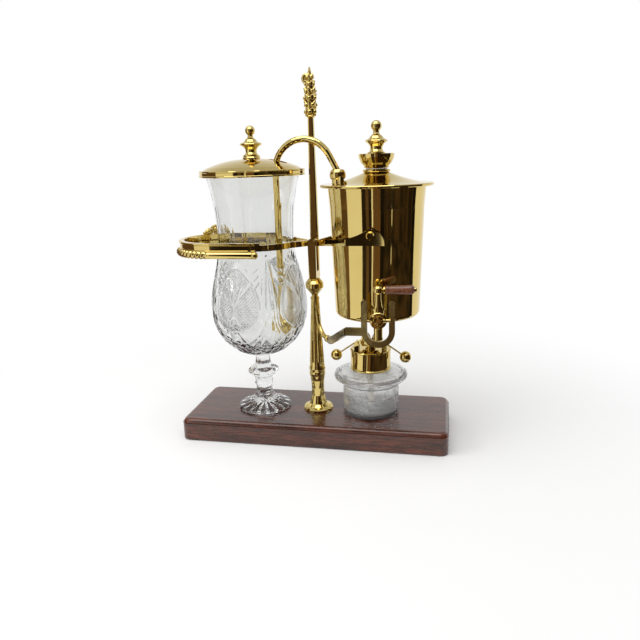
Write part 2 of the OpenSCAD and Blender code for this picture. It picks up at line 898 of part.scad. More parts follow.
module siphon_tube() {
    n = tube_sides;
    last = len(tube_line) - 1;
    outer = [for (p = tube_line) each tube_loop(p, tube_r)];
    inner = [for (p = tube_line) each tube_loop(p, tube_bore)];
    shift = len(outer);
    color(BRASS)
        translate([entry[0], entry[1], 0])
            rotate([0, 0, arch_turn])
                polyhedron(concat(outer, inner), concat(
                    [for (i = [0 : last - 1]) for (k = [0 : n - 1])
                        [i * n + k, i * n + (k + 1) % n, (i + 1) * n + (k + 1) % n, (i + 1) * n + k]],
                    [for (i = [0 : last - 1]) for (k = [0 : n - 1])
                        [shift + i * n + k, shift + (i + 1) * n + k,
                            shift + (i + 1) * n + (k + 1) % n, shift + i * n + (k + 1) % n]],
                    [for (k = [0 : n - 1]) [k, shift + k, shift + (k + 1) % n, (k + 1) % n]],
                    [for (k = [0 : n - 1]) [last * n + k, last * n + (k + 1) % n,
                        shift + last * n + (k + 1) % n, shift + last * n + k]]
                ));
}

module tube_port() {
    color(BRASS)
        translate([port[0], port[1], port_z - 5])
            difference() {
                cylinder(r = port_r, h = nut_z + 2.6 - port_z + 5);
                translate([0, 0, -1])
                    cylinder(r = port_r - 1.2, h = 30);
            }
}

module port_stopper() {
    color("#e8e2d4")
        translate([port[0], port[1], port_z - 1])
            difference() {
                cylinder(r = port_r - 1.2 - fit, h = nut_z + 2.6 - port_z + 1);
                translate([0, 0, -1])
                    cylinder(r = tube_r + fit, h = 30);
            }
}

nut_sink = 5.9;
nut_h = 9.8;
nut_z = kettle_top_z + crown_h - nut_sink;

module union_nut() {
    color(BRASS)
        translate([port[0], port[1], nut_z])
            difference() {
                turned([
                    [port_r + 0.8, 0], [port_r + 1.7, 1.2], [port_r + 2.1, 3.2], [port_r + 2.1, 5.2],
                    [port_r + 1.6, 7.2], [port_r + 0.7, 8.8], [port_r - 0.3, nut_h]
                ]);
                translate([0, 0, -1])
                    cylinder(r = port_r + fit, h = 4);
                // the bore opens upwards, as the tube bends away inside it
                translate([0, 0, 2])
                    cylinder(r = tube_r + 0.4, h = 20);
                translate([0, 0, nut_h - 5])
                    cylinder(r1 = tube_r + 0.2, r2 = tube_r + 2.2, h = 5.1);
            }
}

steam_at = [-33, -28];

module steam_screw() {
    color(PALE_BRASS)
        translate([kettle_x + steam_at[0], steam_at[1], kettle_top_z])
            union() {
                translate([0, 0, -1])
                    cylinder(r = 2.6, h = 9);
                translate([0, 0, 6.6])
                    cylinder(r = 3.6, h = 1.2);
                translate([0, 0, 7.8])
                    cylinder(r = 3, h = 3, $fn = 12);
                translate([0, 0, 10.8])
                    cylinder(r = 2.2, h = 0.8);
            }
}

module filter_head() {
    color(BRASS)
        translate([entry[0], entry[1], filter_z])
            difference() {
                union() {
                    cylinder(r = filter_r, h = 4.5);
                    translate([0, 0, 4.5])
                        cylinder(r1 = filter_r - 0.6, r2 = tube_r + 1.6, h = 4);
                    translate([0, 0, 8.5])
                        cylinder(r = tube_r + 1.6, h = 5);
                }
                translate([0, 0, -1])
                    cylinder(r = filter_r - 1.4, h = 3.2);
                translate([0, 0, 1])
                    cylinder(r = tube_bore, h = 9);
                translate([0, 0, tube_foot_z - filter_z])
                    cylinder(r = tube_r + run, h = 9);
            }
}

module filter_cloth() {
    color("#efe6d2")
        translate([entry[0], entry[1], filter_z + 0.4])
            cylinder(r = filter_r - 1.7, h = 1.6);
}

module filter_cap() {
    color(BRASS)
        translate([entry[0], entry[1], filter_z - 2.2])
            difference() {
                cylinder(r = filter_r, h = 2);
                for (ring = [1 : 2])
                    for (i = [0 : ring * 6 - 1])
                        rotate([0, 0, i * 60 / ring])
                            translate([ring * 3, 0, -1])
                                cylinder(r = 0.9, h = 4, $fn = 16);
                translate([0, 0, -1])
                    cylinder(r = 0.9, h = 4, $fn = 16);
            }
}

// ---------- goblet ----------
// Outer outline of the goblet's bowl, from stem to rim: [radius, height].
bowl_z = 66;
function mix(a, b, t) = a + (b - a) * t;
function ease(t) = (1 - cos(180 * t)) / 2;

// The bowl runs from the stem through the belly and the waist to the rim.
function bowl_r(z) =
    z < 122 ? mix(9, belly_r, pow(sin(90 * pow((z - bowl_z) / (122 - bowl_z), 0.62)), 0.92))
    : z < 200 ? mix(belly_r, waist_r, ease((z - 122) / (200 - 122)))
    : mix(waist_r, rim_r, pow((z - 200) / (goblet_h - 200), 2.2));

bowl_steps = 26;

module goblet_outline() {
    polygon(concat(
        [[0, 0], [goblet_foot_r - 1.5, 0], [goblet_foot_r, 1.2], [goblet_foot_r - 0.4, 3.4],
            [goblet_foot_r - 5, 5.4], [18, 9], [11.6, 15], [9.2, 22], [9, 25], [10.6, 28],
            [11, 32], [10.4, 35.4], [12, 38], [17.4, 42.4], [18.2, 45], [17, 47.6], [11, 51],
            [8.9, 54.6], [8.4, 60], [9, bowl_z]],
        [for (i = [1 : bowl_steps]) let (z = mix(bowl_z, goblet_h, i / bowl_steps)) [bowl_r(z), z]],
        [[0, goblet_h]]
    ));
}

module goblet_inside() {
    z0 = bowl_z + 9;
    polygon(concat(
        [[0, z0]],
        [for (i = [1 : bowl_steps]) let (z = mix(z0, goblet_h, i / bowl_steps))
            [bowl_r(z - glass_t * max(0, 1 - i / 9)) - glass_t, z]],
        [[rim_r - glass_t, goblet_h + 1], [0, goblet_h + 1]]
    ));
}

module goblet() {
    color(GLASS)
        translate([-goblet_x, 0, goblet_z])
            rotate_extrude()
                difference() {
                    goblet_outline();
                    goblet_inside();
                }
}

lid_rise = 12;
function lid_dome(r) = lid_rise * pow(cos(90 * (r - 8) / (lid_r - 2 - 8)), 0.8);

// The lid: a domed sheet with a beaded skirt that hangs round the glass rim.
module goblet_lid() {
    steps = 8;
    dome = [for (i = [0 : steps]) 4 + (lid_r - 6) * i / steps];
    color(BRASS)
        translate([-goblet_x, 0, rim_z + seat])
            difference() {
                rotate_extrude()
                    polygon(concat(
                        [for (r = dome) [r, 1.5 + lid_dome(max(r, 8))]],
                        arc(lid_r - 0.9, 1, 1.1, 110, -60, 5),
                        arc(lid_r - 0.9, -3.8, 1.1, 60, -140, 6),
                        [[lid_r - 1.9, 0], [rim_r - 4.5, 0], [rim_r - 5.5, 1]],
                        [for (i = [steps - 2 : -1 : 0]) [dome[i], 1.5 + lid_dome(max(dome[i], 8)) - sheet]]
                    ));
                // a short slot, so that the lid can rise round the bent tube
                translate([entry_x, -entry_y, -1])
                    rotate([0, 0, arch_turn])
                        for (step = [-lid_back, lid_slot])
                            translate([step, 0, 0])
                                cylinder(r = tube_r + lid_play, h = 30);
                translate([entry_x, -entry_y, -1])
                    rotate([0, 0, arch_turn])
                        translate([-lid_back, -tube_r - lid_play, 0])
                            cube([lid_back + lid_slot, 2 * (tube_r + lid_play), 30]);
            }
}

module lid_knob() {
    color(BRASS)
        translate([-goblet_x, 0, rim_z + seat + 1.5 + lid_rise])
            union() {
                translate([0, 0, -3])
                    cylinder(r = 3.9, h = 4);
                turned([[9.6, 0], [9.8, 1], [9, 2.2]]);
                finial(2.6, 9, 30, 12.1, 5.3);
            }
}

// ---------- tap ----------
// The tap's parts are drawn in front of the kettle and turned round its axis.
module at_tap() {
    translate([kettle_x, 0, tap_z])
        rotate([0, 0, tap_round])
            children();
}

tap_thread_r = 4;
stem_h = 26;
boss_r = 8.6;
boss_z = -4;
handle_x = 7;

module tap_washer() {
    color("#e8e2d4")
        at_tap()
            difference() {
                rod_y(7.4, -kettle_r0 - 2.6, -kettle_r0 - 1.4);
                rod_y(tap_thread_r + fit, -kettle_r0 - 5, -kettle_r0);
            }
}

// The nut that holds the tap from inside the kettle.
module tap_nut() {
    color(PALE_BRASS)
        at_tap()
            translate([0, -kettle_r0 + 1.7, 0])
                rotate([-90, 0, 0])
                    difference() {
                        cylinder(r = 7, h = 3, $fn = 6);
                        translate([0, 0, -1])
                            cylinder(r = tap_thread_r + fit, h = 6);
                    }
}

module tap_body() {
    wall = -kettle_r0 - 2.6;
    color(BRASS)
        at_tap()
            difference() {
                union() {
                    rod_y(tap_thread_r, wall, -kettle_r0 + 7);
                    rod_y(8.2, wall - 1.8, wall);
                    rod_y(6.2, wall - 3.4, wall - 1.8);
                    rod_y(7.4, wall - 5, wall - 3.4);
                    rod_y(4.8, -tap_y, wall - 5);
                    // the valve barrel
                    translate([0, -tap_y, -8.5])
                        cylinder(r1 = 5.4, r2 = 6.4, h = 15);
                    translate([0, -tap_y, 6.5])
                        cylinder(r = 7, h = 1.6);
                    // the round boss in front, with a ring and a short wing
                    translate([0, -tap_y - 3.4, boss_z])
                        rotate([90, 0, 0])
                            turned([
                                [boss_r, 0], [boss_r, 2.6], [boss_r - 0.8, 3.4], [boss_r - 2.2, 3.6],
                                [boss_r - 2.6, 2.9], [boss_r - 3.8, 2.9], [boss_r - 4.2, 3.8], [boss_r - 6, 4.4]
                            ]);
                    translate([boss_r - 3.6, -tap_y - 5.4, boss_z])
                        rotate([0, 90, 0])
                            cylinder(r1 = 2.2, r2 = 1.5, h = 7.2);
                    // the spout
                    translate([0, -tap_y, -tap_z + spout_z])
                        cylinder(r1 = spout_r, r2 = spout_r + 0.5, h = tap_z - spout_z - 8);
                    translate([0, -tap_y, -tap_z + spout_z])
                        cylinder(r = spout_r + 0.5, h = 1.6);
                }
                rod_y(2.2, -tap_y, -kettle_r0 + 9);
                translate([0, -tap_y, -3])
                    cylinder(r = 4 + run, h = 13);
                translate([0, -tap_y, -tap_z + spout_z - 1])
                    cylinder(r = 2.6, h = tap_z - spout_z);
            }
}

spout_z = cradle_z + cradle_in - sqrt(pow(cradle_in, 2) - pow(spout_r + 0.5, 2)) + cradle_rest;

module tap_plug() {
    color(PALE_BRASS)
        at_tap()
            translate([0, -tap_y, 0])
                difference() {
                    union() {
                        translate([0, 0, -2.9])
                            cylinder(r = 4, h = 11.2);
                        translate([0, 0, 8.2])
                            cylinder(r = 5.2, h = 1.6);
                        translate([0, 0, 9.6])
                            cylinder(r1 = 4.4, r2 = 3.4, h = 8);
                        translate([0, 0, 17])
                            cylinder(r = 3.4, h = stem_h - 17);
                        translate([0, 0, stem_h])
                            sphere(5);
                    }
                    rod_y(2, -10, 10);
                    translate([0, 0, stem_h])
                        rotate([0, 90, 0])
                            cylinder(r = 1.6 + fit, h = 10);
                }
}

module tap_lever() {
    color(PALE_BRASS)
        at_tap()
            translate([0, -tap_y, stem_h])
                rotate([0, 90, 0])
                    union() {
                        translate([0, 0, 1.5])
                            cylinder(r = 1.6, h = handle_l + 5);
                        translate([0, 0, 5.4])
                            cylinder(r = 3.6, h = 1.4);
                    }
}

module tap_handle() {
    color(WOOD)
        at_tap()
            translate([handle_x, -tap_y, stem_h])
                rotate([0, 90, 0])
                    difference() {
                        turned([
                            [handle_r - 1.2, 0], [handle_r - 0.3, 0.8], [handle_r - 0.3, 2.4], [handle_r - 0.9, 3],
                            [handle_r - 0.5, 6], [handle_r, handle_l * 0.6], [handle_r, handle_l - 3.2],
                            [handle_r - 0.6, handle_l - 1.2], [handle_r - 2, handle_l]
                        ]);
                        translate([0, 0, -1])
                            cylinder(r = 1.6 + fit, h = handle_l + 2);
                    }
}

module tap_end_nut() {
    color(PALE_BRASS)
        at_tap()
            translate([handle_x + handle_l, -tap_y, stem_h])
                rotate([0, 90, 0])
                    difference() {
                        turned([[2.6, 0], [2.6, 0.8], [1.8, 2]]);
                        translate([0, 0, -1])
                            cylinder(r = 1.6 + fit, h = 1.6);
                    }
}

// ---------- burner ----------
collar_z = top_z + 52;
collar_top_z = collar_z + collar_h;
hinge_x = 15.4;
hinge_z = 5.6;
hinge_r = 1.1;
lug_w = 5;

module burner_bottle() {
    neck = collar_r - 3.4;
    color(GLASS)
        translate([burner_x, 0, top_z])
            rotate_extrude()
                difference() {
                    polygon([
                        [0, 0], [bottle_r - 3, 0], [bottle_r - 0.8, 0.9], [bottle_r, 3], [bottle_r, 23],
                        [bottle_r - 0.9, 24], [bottle_r, 25], [bottle_r, 33], [bottle_r + 1.4, 37],
                        [shoulder_r - 3, 40.6], [shoulder_r - 0.6, 42.6], [shoulder_r, 45],
                        [shoulder_r - 1, 47.4], [shoulder_r - 5, 49.4], [collar_r + 1, 51.4],
                        [neck, 51.6], [neck, 68], [0, 68]
                    ]);
                    polygon([
                        [0, 4], [bottle_r - 5, 4], [bottle_r - 4, 6], [bottle_r - 4, 35],
                        [shoulder_r - 7, 42.4], [shoulder_r - 6, 45], [shoulder_r - 9, 46.6],
                        [neck - 3, 48.4], [neck - 3, 70], [0, 70]
                    ]);
                }
}

module burner_gasket() {
    color("#e8e2d4")
        translate([burner_x, 0, top_z + 68])
            difference() {
                cylinder(r = collar_r - 3.4, h = 1);
                translate([0, 0, -1])
                    cylinder(r = collar_r - 6.4, h = 3);
            }
}

module burner_collar() {
    color(BRASS)
        translate([burner_x, 0, collar_z])
            difference() {
                union() {
                    turned([
                        [collar_r - 0.4, 0], [collar_r, 0.5], [collar_r, 2], [collar_r - 0.5, 2.6],
                        [collar_r - 0.5, collar_h - 2.4], [collar_r, collar_h - 1.8],
                        [collar_r, collar_h - 0.6], [collar_r - 0.6, collar_h]
                    ]);
                    for (sx = [-1, 1])
                        for (sy = [-1, 1])
                            ear(sx, sy);
                }
                translate([0, 0, -1])
                    cylinder(r = collar_r - 3.4 + 0.2, h = 18.2);
                translate([0, 0, 10])
                    cylinder(r = wick_r + 1 + run, h = 20);
                translate([0, 0, collar_h + hinge_z])
                    for (sx = [-1, 1])
                        translate([sx * hinge_x, 0, 0])
                            rod_y(hinge_r + run, -10, 10);
            }
}

// An ear beside a snuffer's lug.
module ear(sx, sy) {
    y0 = sy > 0 ? lug_w / 2 + seat : -lug_w / 2 - seat - 1.6;
    translate([sx * hinge_x, y0, collar_h - 0.5])
        union() {
            translate([-2.5, 0, 0])
                cube([5, 1.6, hinge_z + 0.5]);
            translate([0, 0, hinge_z + 0.5])
                rod_y(2.5, 0, 1.6);
        }
}

wick_r = 3.6;

module wick_tube() {
    color(PALE_BRASS)
        translate([burner_x, 0, collar_top_z - 12])
            difference() {
                union() {
                    cylinder(r = wick_r + 1, h = 17);
                    translate([0, 0, 12])
                        cylinder(r = wick_r + 2.4, h = 1.2);
                }
                translate([0, 0, -1])
                    cylinder(r = wick_r, h = 20);
            }
}

module wick() {
    color("#f2ecdc")
        translate([burner_x, 0, top_z + 8])
            cylinder(r = wick_r - 0.2, h = collar_top_z + 7.4 - top_z - 8);
}

module hinge_pins() {
    reach = lug_w / 2 + seat + 1.6;
    color(PALE_BRASS)
        for (sx = [-1, 1])
            translate([burner_x + sx * hinge_x, 0, collar_top_z + hinge_z])
                union() {
                    rod_y(hinge_r, -reach, reach);
                    rod_y(hinge_r * 1.5, -reach - 0.6, -reach);
                    rod_y(hinge_r * 1.5, reach, reach + 0.6);
                }
}

// One half of the snuffer dome, leaning open, with its lug, rod and ball.
module snuffer() {
    dome_z = 1.2 - hinge_z;
    color(BRASS)
        difference() {
            union() {
                rotate([0, -snuffer_lean, 0])
                    translate([hinge_x, 0, dome_z])
                        difference() {
                            union() {
                                cylinder(r = dome_r, h = 1.5);
                                translate([0, 0, 1.5])
                                    sphere(dome_r);
                            }
                            sphere_hollow();
                            translate([-0.2, -20, -20])
                                cube([40, 40, 60]);
                            translate([-20, -20, -20])
                                cube([40, 40, 20]);
                            // the low edge stays on its own side of the middle as the half turns
                            difference() {
                                translate([-6, -20, -4])
                                    cube([20, 40, -dome_z + 4]);
                                translate([-hinge_x, 0, -dome_z])
                                    rod_y(hinge_x - 0.35, -21, 21);
                            }
                        }
                // the lug between the ears
                rod_y(2.4, -lug_w / 2, lug_w / 2);
                rotate([0, -snuffer_lean, 0])
                    translate([0, -lug_w / 2, -2.2])
                        cube([hinge_x - dome_r + 0.9, lug_w, 4.2]);
                rod([-1.6, 0, 0.6], [-23.6, 0, -14.6], 0.9, 0.9);
                translate([-23.6, 0, -14.6])
                    sphere(ball_r);
            }
            rod_y(hinge_r + run, -10, 10);
        }
}

module sphere_hollow() {
    translate([0, 0, -1])
        cylinder(r = dome_r - 1, h = 2.5);
    translate([0, 0, 1.5])
        sphere(dome_r - 1);
}

module snuffer_left() {
    translate([burner_x - hinge_x, 0, collar_top_z + hinge_z])
        snuffer();
}

module snuffer_right() {
    translate([burner_x + hinge_x, 0, collar_top_z + hinge_z])
        rotate([0, 0, 180])
            snuffer();
}

base_board();
base_felt();
column_bolt();
column_washer();
column_foot();
column_shaft();
column_knop();
column_fork();
mast_finial();
beam_pivot_pin();
cradle_fork();
cradle_stud();
beam_frame();
counterweight();
counterweight_ornament();
weight_rivets();
kettle_body();
kettle_top();
kettle_pivot_screws();
filler_neck();
filler_gasket();
filler_cap();
tube_port();
port_stopper();
union_nut();
steam_screw();
siphon_tube();
filter_head();
filter_cloth();
filter_cap();
goblet();
goblet_lid();
lid_knob();
tap_washer();
tap_nut();
tap_body();
tap_plug();
tap_lever();
tap_handle();
tap_end_nut();
burner_bottle();
burner_gasket();
burner_collar();
wick_tube();
wick();
hinge_pins();
snuffer_left();
snuffer_right();
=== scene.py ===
"""A balance siphon coffee maker.

A gold kettle and a cut glass goblet stand on either side of a column with a tilting beam,
over a burner and a wooden base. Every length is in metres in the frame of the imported
model. Turned pieces are profiles (radius, height) carried round an axis; bent pieces are
sections carried along a path.
"""
import json
import math

import bmesh
import bpy
import numpy as np
from mathutils import Matrix


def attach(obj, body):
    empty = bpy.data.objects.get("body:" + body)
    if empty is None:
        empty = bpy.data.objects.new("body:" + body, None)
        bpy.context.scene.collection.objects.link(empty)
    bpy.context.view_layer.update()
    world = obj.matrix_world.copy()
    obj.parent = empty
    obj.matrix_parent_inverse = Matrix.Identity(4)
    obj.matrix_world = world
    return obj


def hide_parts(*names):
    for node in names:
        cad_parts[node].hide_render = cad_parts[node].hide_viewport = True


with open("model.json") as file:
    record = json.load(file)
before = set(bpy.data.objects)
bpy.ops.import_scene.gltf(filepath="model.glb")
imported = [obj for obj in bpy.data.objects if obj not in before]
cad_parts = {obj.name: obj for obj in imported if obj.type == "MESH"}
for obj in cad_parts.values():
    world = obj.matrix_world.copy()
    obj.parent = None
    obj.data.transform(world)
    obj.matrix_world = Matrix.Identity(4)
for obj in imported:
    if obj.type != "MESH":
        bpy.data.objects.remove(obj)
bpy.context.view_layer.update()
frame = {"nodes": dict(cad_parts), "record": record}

# ---------- camera ----------
# The camera stands a little to the right of the column, leans over slightly and looks down
# on the lids. Its lens is given by a focal length and a picture width in pixels.
camera_turn = math.radians(12.0)
camera_pitch = math.radians(14.8)
camera_roll = math.radians(1.8)
camera_range = 0.664
camera_side = 0.0048
camera_height = 0.3065
focal_px, frame_px, sensor_mm = 606.0, 640.0, 36.0

along = np.array([-math.sin(camera_turn), math.cos(camera_turn), 0.0])
aside = np.array([math.cos(camera_turn), math.sin(camera_turn), 0.0])
look = along * math.cos(camera_pitch) + np.array([0, 0, -math.sin(camera_pitch)])
above = np.cross(aside, look)
lean_up = above * math.cos(camera_roll) + aside * math.sin(camera_roll)
lean_right = aside * math.cos(camera_roll) - above * math.sin(camera_roll)
stand_point = -along * camera_range + aside * camera_side + np.array([0, 0, camera_height])
camera_data = bpy.data.cameras.new("camera")
camera_data.sensor_width = sensor_mm
camera_data.lens = focal_px / frame_px * sensor_mm
camera_data.clip_start, camera_data.clip_end = 0.01, 50.0
camera = bpy.data.objects.new("camera", camera_data)
turn = Matrix([lean_right, lean_up, -look]).transposed().to_4x4()
camera.matrix_world = Matrix.Translation(stand_point) @ turn
bpy.context.scene.collection.objects.link(camera)
bpy.context.scene.camera = camera

# ---------- studio ----------
# A pale floor and a white surround, a soft lamp above, and dark and bright cards
# round the table that only show as bands in the polished metal.
bpy.context.scene.view_settings.view_transform = "Standard"
card_near, card_lift = 0.20, 0.001
floor_reach, floor_drop = 6.0, 0.0004


def feed(tree, node, inputs):
    """Gives each of a node's inputs a value, or a link from another node's output."""
    for key, value in inputs.items():
        if isinstance(value, bpy.types.NodeSocket):
            tree.links.new(value, node.inputs[key])
        else:
            node.inputs[key].default_value = value


def add_node(tree, kind, inputs=None, **settings):
    """A new node in a tree: its own settings are made first, and then its inputs are fed."""
    node = tree.nodes.new(kind)
    for setting, value in settings.items():
        setattr(node, setting, value)
    feed(tree, node, inputs or {})
    return node


def new_material(name):
    """A new material, its node tree, and the one Principled shader that its output shows."""
    material = bpy.data.materials.new(name)
    material.use_nodes = True
    tree = material.node_tree
    tree.nodes.clear()
    shader = tree.nodes.new("ShaderNodeBsdfPrincipled")
    add_node(tree, "ShaderNodeOutputMaterial", {"Surface": shader.outputs["BSDF"]}, name="output")
    return material, tree, shader


def card_paint(name, colour, cloud):
    """A matt paint; where a cloud colour is given, soft patches of noise mix it in."""
    material, tree, shader = new_material(name)
    feed(tree, shader, {"Roughness": 0.9, "Specular IOR Level": 0.1, "Base Color": (*colour, 1)})
    if cloud is not None:
        where = add_node(tree, "ShaderNodeTexCoord")
        patches = add_node(tree, "ShaderNodeTexNoise",
                           {"Vector": where.outputs["Object"], "Scale": 5.0, "Detail": 3.0})
        spread = add_node(tree, "ShaderNodeMapRange",
                          {"Value": patches.outputs["Fac"], "From Min": 0.40, "From Max": 0.62})
        tint = add_node(tree, "ShaderNodeMix",
                        {"Factor": spread.outputs["Result"], "A": (*colour, 1), "B": (*cloud, 1)},
                        data_type="RGBA")
        feed(tree, shader, {"Base Color": tint.outputs["Result"]})
    return material


def card(name, colour, turns, reach, top, cloud=None, columns=24):
    """A strip that only the metal sees.

    It lies on the floor between two turns round the object, from its near to its far
    edge, and stands up at the far edge to its top.
    """
    angle = np.radians(np.linspace(turns[0], turns[1], columns + 1)) + camera_turn
    rows = [(reach[0], card_lift), (reach[1], card_lift), (reach[1], top)]
    points = np.concatenate([
        np.stack([r * np.sin(angle), -r * np.cos(angle), np.full_like(angle, z)], 1) for r, z in rows])
    i = np.arange(columns)
    strip = np.stack([i, i + 1, i + columns + 2, i + columns + 1], 1)
    mesh = bpy.data.meshes.new(name)
    mesh.from_pydata(points.tolist(), [], np.concatenate([strip, strip + columns + 1]).tolist())
    mesh.materials.append(card_paint(name, colour, cloud))
    made = bpy.data.objects.new(name, mesh)
    bpy.context.scene.collection.objects.link(made)
    made.visible_camera = False
    made.visible_transmission = False
    made.visible_diffuse = False
    made.visible_shadow = False
    return made


floor_mesh = bpy.data.meshes.new("floor")
floor_corners = [(x * floor_reach, y * floor_reach, 0) for x, y in ((-1, -1), (1, -1), (1, 1), (-1, 1))]
floor_mesh.from_pydata(floor_corners, [], [(0, 1, 2, 3)])
floor = bpy.data.objects.new("floor", floor_mesh)
floor.location.z = -floor_drop
bpy.context.scene.collection.objects.link(floor)
floor_paint, tree, shader = new_material("floor_paint")
feed(tree, shader, {"Base Color": (0.90, 0.90, 0.895, 1), "Roughness": 0.8, "Specular IOR Level": 0.2})
# the floor fades into the white surround away from the object, and keeps its shadow near it
where = add_node(tree, "ShaderNodeTexCoord")
distance = add_node(tree, "ShaderNodeVectorMath", {0: where.outputs["Object"]}, operation="LENGTH")
fade = add_node(tree, "ShaderNodeMapRange",
                {"From Min": 0.16, "From Max": 0.55, "Value": distance.outputs["Value"]},
                interpolation_type="SMOOTHSTEP")
glow = add_node(tree, "ShaderNodeEmission", {"Strength": 1.0})
blend = add_node(tree, "ShaderNodeMixShader",
                 {"Fac": fade.outputs["Result"], 1: shader.outputs["BSDF"], 2: glow.outputs["Emission"]})
feed(tree, tree.nodes["output"], {"Surface": blend.outputs["Shader"]})
floor_mesh.materials.append(floor_paint)

world = bpy.data.worlds.new("surround")
bpy.context.scene.world = world
world.use_nodes = True
tree = world.node_tree
tree.nodes.clear()
path = add_node(tree, "ShaderNodeLightPath")
shown = add_node(tree, "ShaderNodeMath",
                 {0: path.outputs["Is Camera Ray"], 1: path.outputs["Is Transmission Ray"]},
                 operation="MAXIMUM")
# polished metal sees a wall that darkens towards the ceiling; the camera sees plain white
where = add_node(tree, "ShaderNodeTexCoord")
split = add_node(tree, "ShaderNodeSeparateXYZ", {0: where.outputs["Generated"]})
ceiling = add_node(tree, "ShaderNodeMapRange", {
    "Value": split.outputs["Z"], "From Min": 0.10, "From Max": 0.75, "To Min": 1.0, "To Max": 0.60})
metal_sees = add_node(tree, "ShaderNodeMix",
                      {"Factor": path.outputs["Is Glossy Ray"], "A": 0.55, "B": ceiling.outputs["Result"]})
strength = add_node(tree, "ShaderNodeMix",
                    {"Factor": shown.outputs[0], "A": metal_sees.outputs["Result"], "B": 1.0})
surround = add_node(tree, "ShaderNodeBackground",
                    {"Color": (1, 1, 1, 1), "Strength": strength.outputs["Result"]})
add_node(tree, "ShaderNodeOutputWorld", {"Surface": surround.outputs[0]})


def soft_lamp(name, place, aim, width, depth, power, shown_in_gloss=True):
    """A rectangular area lamp at a place, turned towards a point."""
    data = bpy.data.lights.new(name, "AREA")
    data.shape = "RECTANGLE"
    data.size, data.size_y, data.energy = width, depth, power
    lamp = bpy.data.objects.new(name, data)
    bpy.context.scene.collection.objects.link(lamp)
    direction = np.array(aim, float) - np.array(place, float)
    back = -direction / np.linalg.norm(direction)
    side = np.cross([0, 1, 0.001], back)
    side /= np.linalg.norm(side)
    facing = Matrix([side, np.cross(back, side), back]).transposed().to_4x4()
    lamp.matrix_world = Matrix.Translation(place) @ facing
    lamp.visible_glossy = shown_in_gloss


soft_lamp("top_lamp", (-0.15, -0.35, 1.5), (0, 0, 0.15), 1.4, 1.2, 14)
soft_lamp("left_lamp", (-1.3, -0.7, 0.8), (0, 0, 0.18), 0.7, 1.0, 8, shown_in_gloss=False)
# a card's name, colour, turns from the front in degrees, far edge, top, and cloud colour
for name, colour, turns, far_edge, top, cloud in (
        ("room_left", (0.13, 0.075, 0.035), (-128, -78), 1.35, 0.9, None),
        ("room_door", (0.020, 0.012, 0.008), (-38, -28), 1.25, 1.1, None),
        ("room_post", (0.115, 0.068, 0.040), (-28, -21), 1.25, 1.1, None),
        ("room_frame", (0.020, 0.012, 0.008), (-21, -14), 1.25, 1.1, None),
        ("room_shelf", (0.15, 0.080, 0.040), (-11, 6), 1.30, 1.1, None),
        ("room_gap", (0.008, 0.005, 0.004), (6, 14), 1.30, 1.1, None),
        ("room_right", (0.015, 0.009, 0.005), (14, 86), 1.30, 1.1, (0.060, 0.034, 0.017)),
        ("room_edge", (0.008, 0.005, 0.004), (86, 96), 1.30, 1.1, None)):
    card(name, colour, turns, (card_near, far_edge), top, cloud)
# two narrow bright slits: turn in degrees, near and far edge, top, and height over the floor
slit_turns = 1.6
for turn_to, reach, top, lift in ((31, (0.93, 1.12), 0.002, 0.002), (31.5, (1.27, 1.28), 0.07, 0.04)):
    slit = card("room_slit", (0.95, 0.92, 0.85), (turn_to, turn_to + slit_turns), reach, top, columns=2)
    slit.location.z = lift

# ---------- gold-plated pieces ----------
# The frame, lids, tap and burner are turned and cast brass with a bright gold plate.
# The plate has faint cloudy smears where hands polish it, and a slight ripple.


def new_group(name, inputs, outputs):
    """A shader node group with named sockets: the group, its input node and its output node."""
    group = bpy.data.node_groups.new(name, "ShaderNodeTree")
    for in_out, sockets in (("INPUT", inputs), ("OUTPUT", outputs)):
        for label, kind in sockets.items():
            group.interface.new_socket(name=label, in_out=in_out, socket_type="NodeSocket" + kind)
    return group, group.nodes.new("NodeGroupInput"), group.nodes.new("NodeGroupOutput")


surface_outputs = {"Colour": "Color", "Roughness": "Float", "Normal": "Vector"}


def plate_group():
    """Cloudy polish: noise mixes two tints and spreads the roughness; a finer noise ripples the metal."""
    group, start, end = new_group("polished_plate", {
        "Bright": "Color", "Deep": "Color", "Smear Scale": "Float", "Low Gloss": "Float",
        "High Gloss": "Float", "Ripple Scale": "Float", "Ripple": "Float"}, surface_outputs)
    where = add_node(group, "ShaderNodeTexCoord")
    smear = add_node(group, "ShaderNodeTexNoise", {
        "Vector": where.outputs["Object"], "Scale": start.outputs["Smear Scale"], "Detail": 5.0})
    tint = add_node(group, "ShaderNodeMix", {
        "Factor": smear.outputs["Fac"], "A": start.outputs["Bright"], "B": start.outputs["Deep"]},
        data_type="RGBA")
    gloss = add_node(group, "ShaderNodeMapRange", {
        "Value": smear.outputs["Fac"], "From Min": 0.35, "From Max": 0.7,
        "To Min": start.outputs["Low Gloss"], "To Max": start.outputs["High Gloss"]})
    ripple = add_node(group, "ShaderNodeTexNoise", {
        "Vector": where.outputs["Object"], "Scale": start.outputs["Ripple Scale"], "Detail": 2.0})
    bump = add_node(group, "ShaderNodeBump", {
        "Strength": start.outputs["Ripple"], "Distance": 0.001, "Height": ripple.outputs["Fac"]})
    feed(group, end, {"Colour": tint.outputs["Result"], "Roughness": gloss.outputs["Result"],
                      "Normal": bump.outputs["Normal"]})
    return group


def surfaced(name, group, values, plain):
    """A material whose colour, roughness and normal come from a group; the rest of its shader is plain."""
    material, tree, shader = new_material(name)
    made = add_node(tree, "ShaderNodeGroup", values, node_tree=group)
    feed(tree, shader, {"Base Color": made.outputs["Colour"], "Roughness": made.outputs["Roughness"],
                        "Normal": made.outputs["Normal"], **plain})
    return material


polished_plate = plate_group()


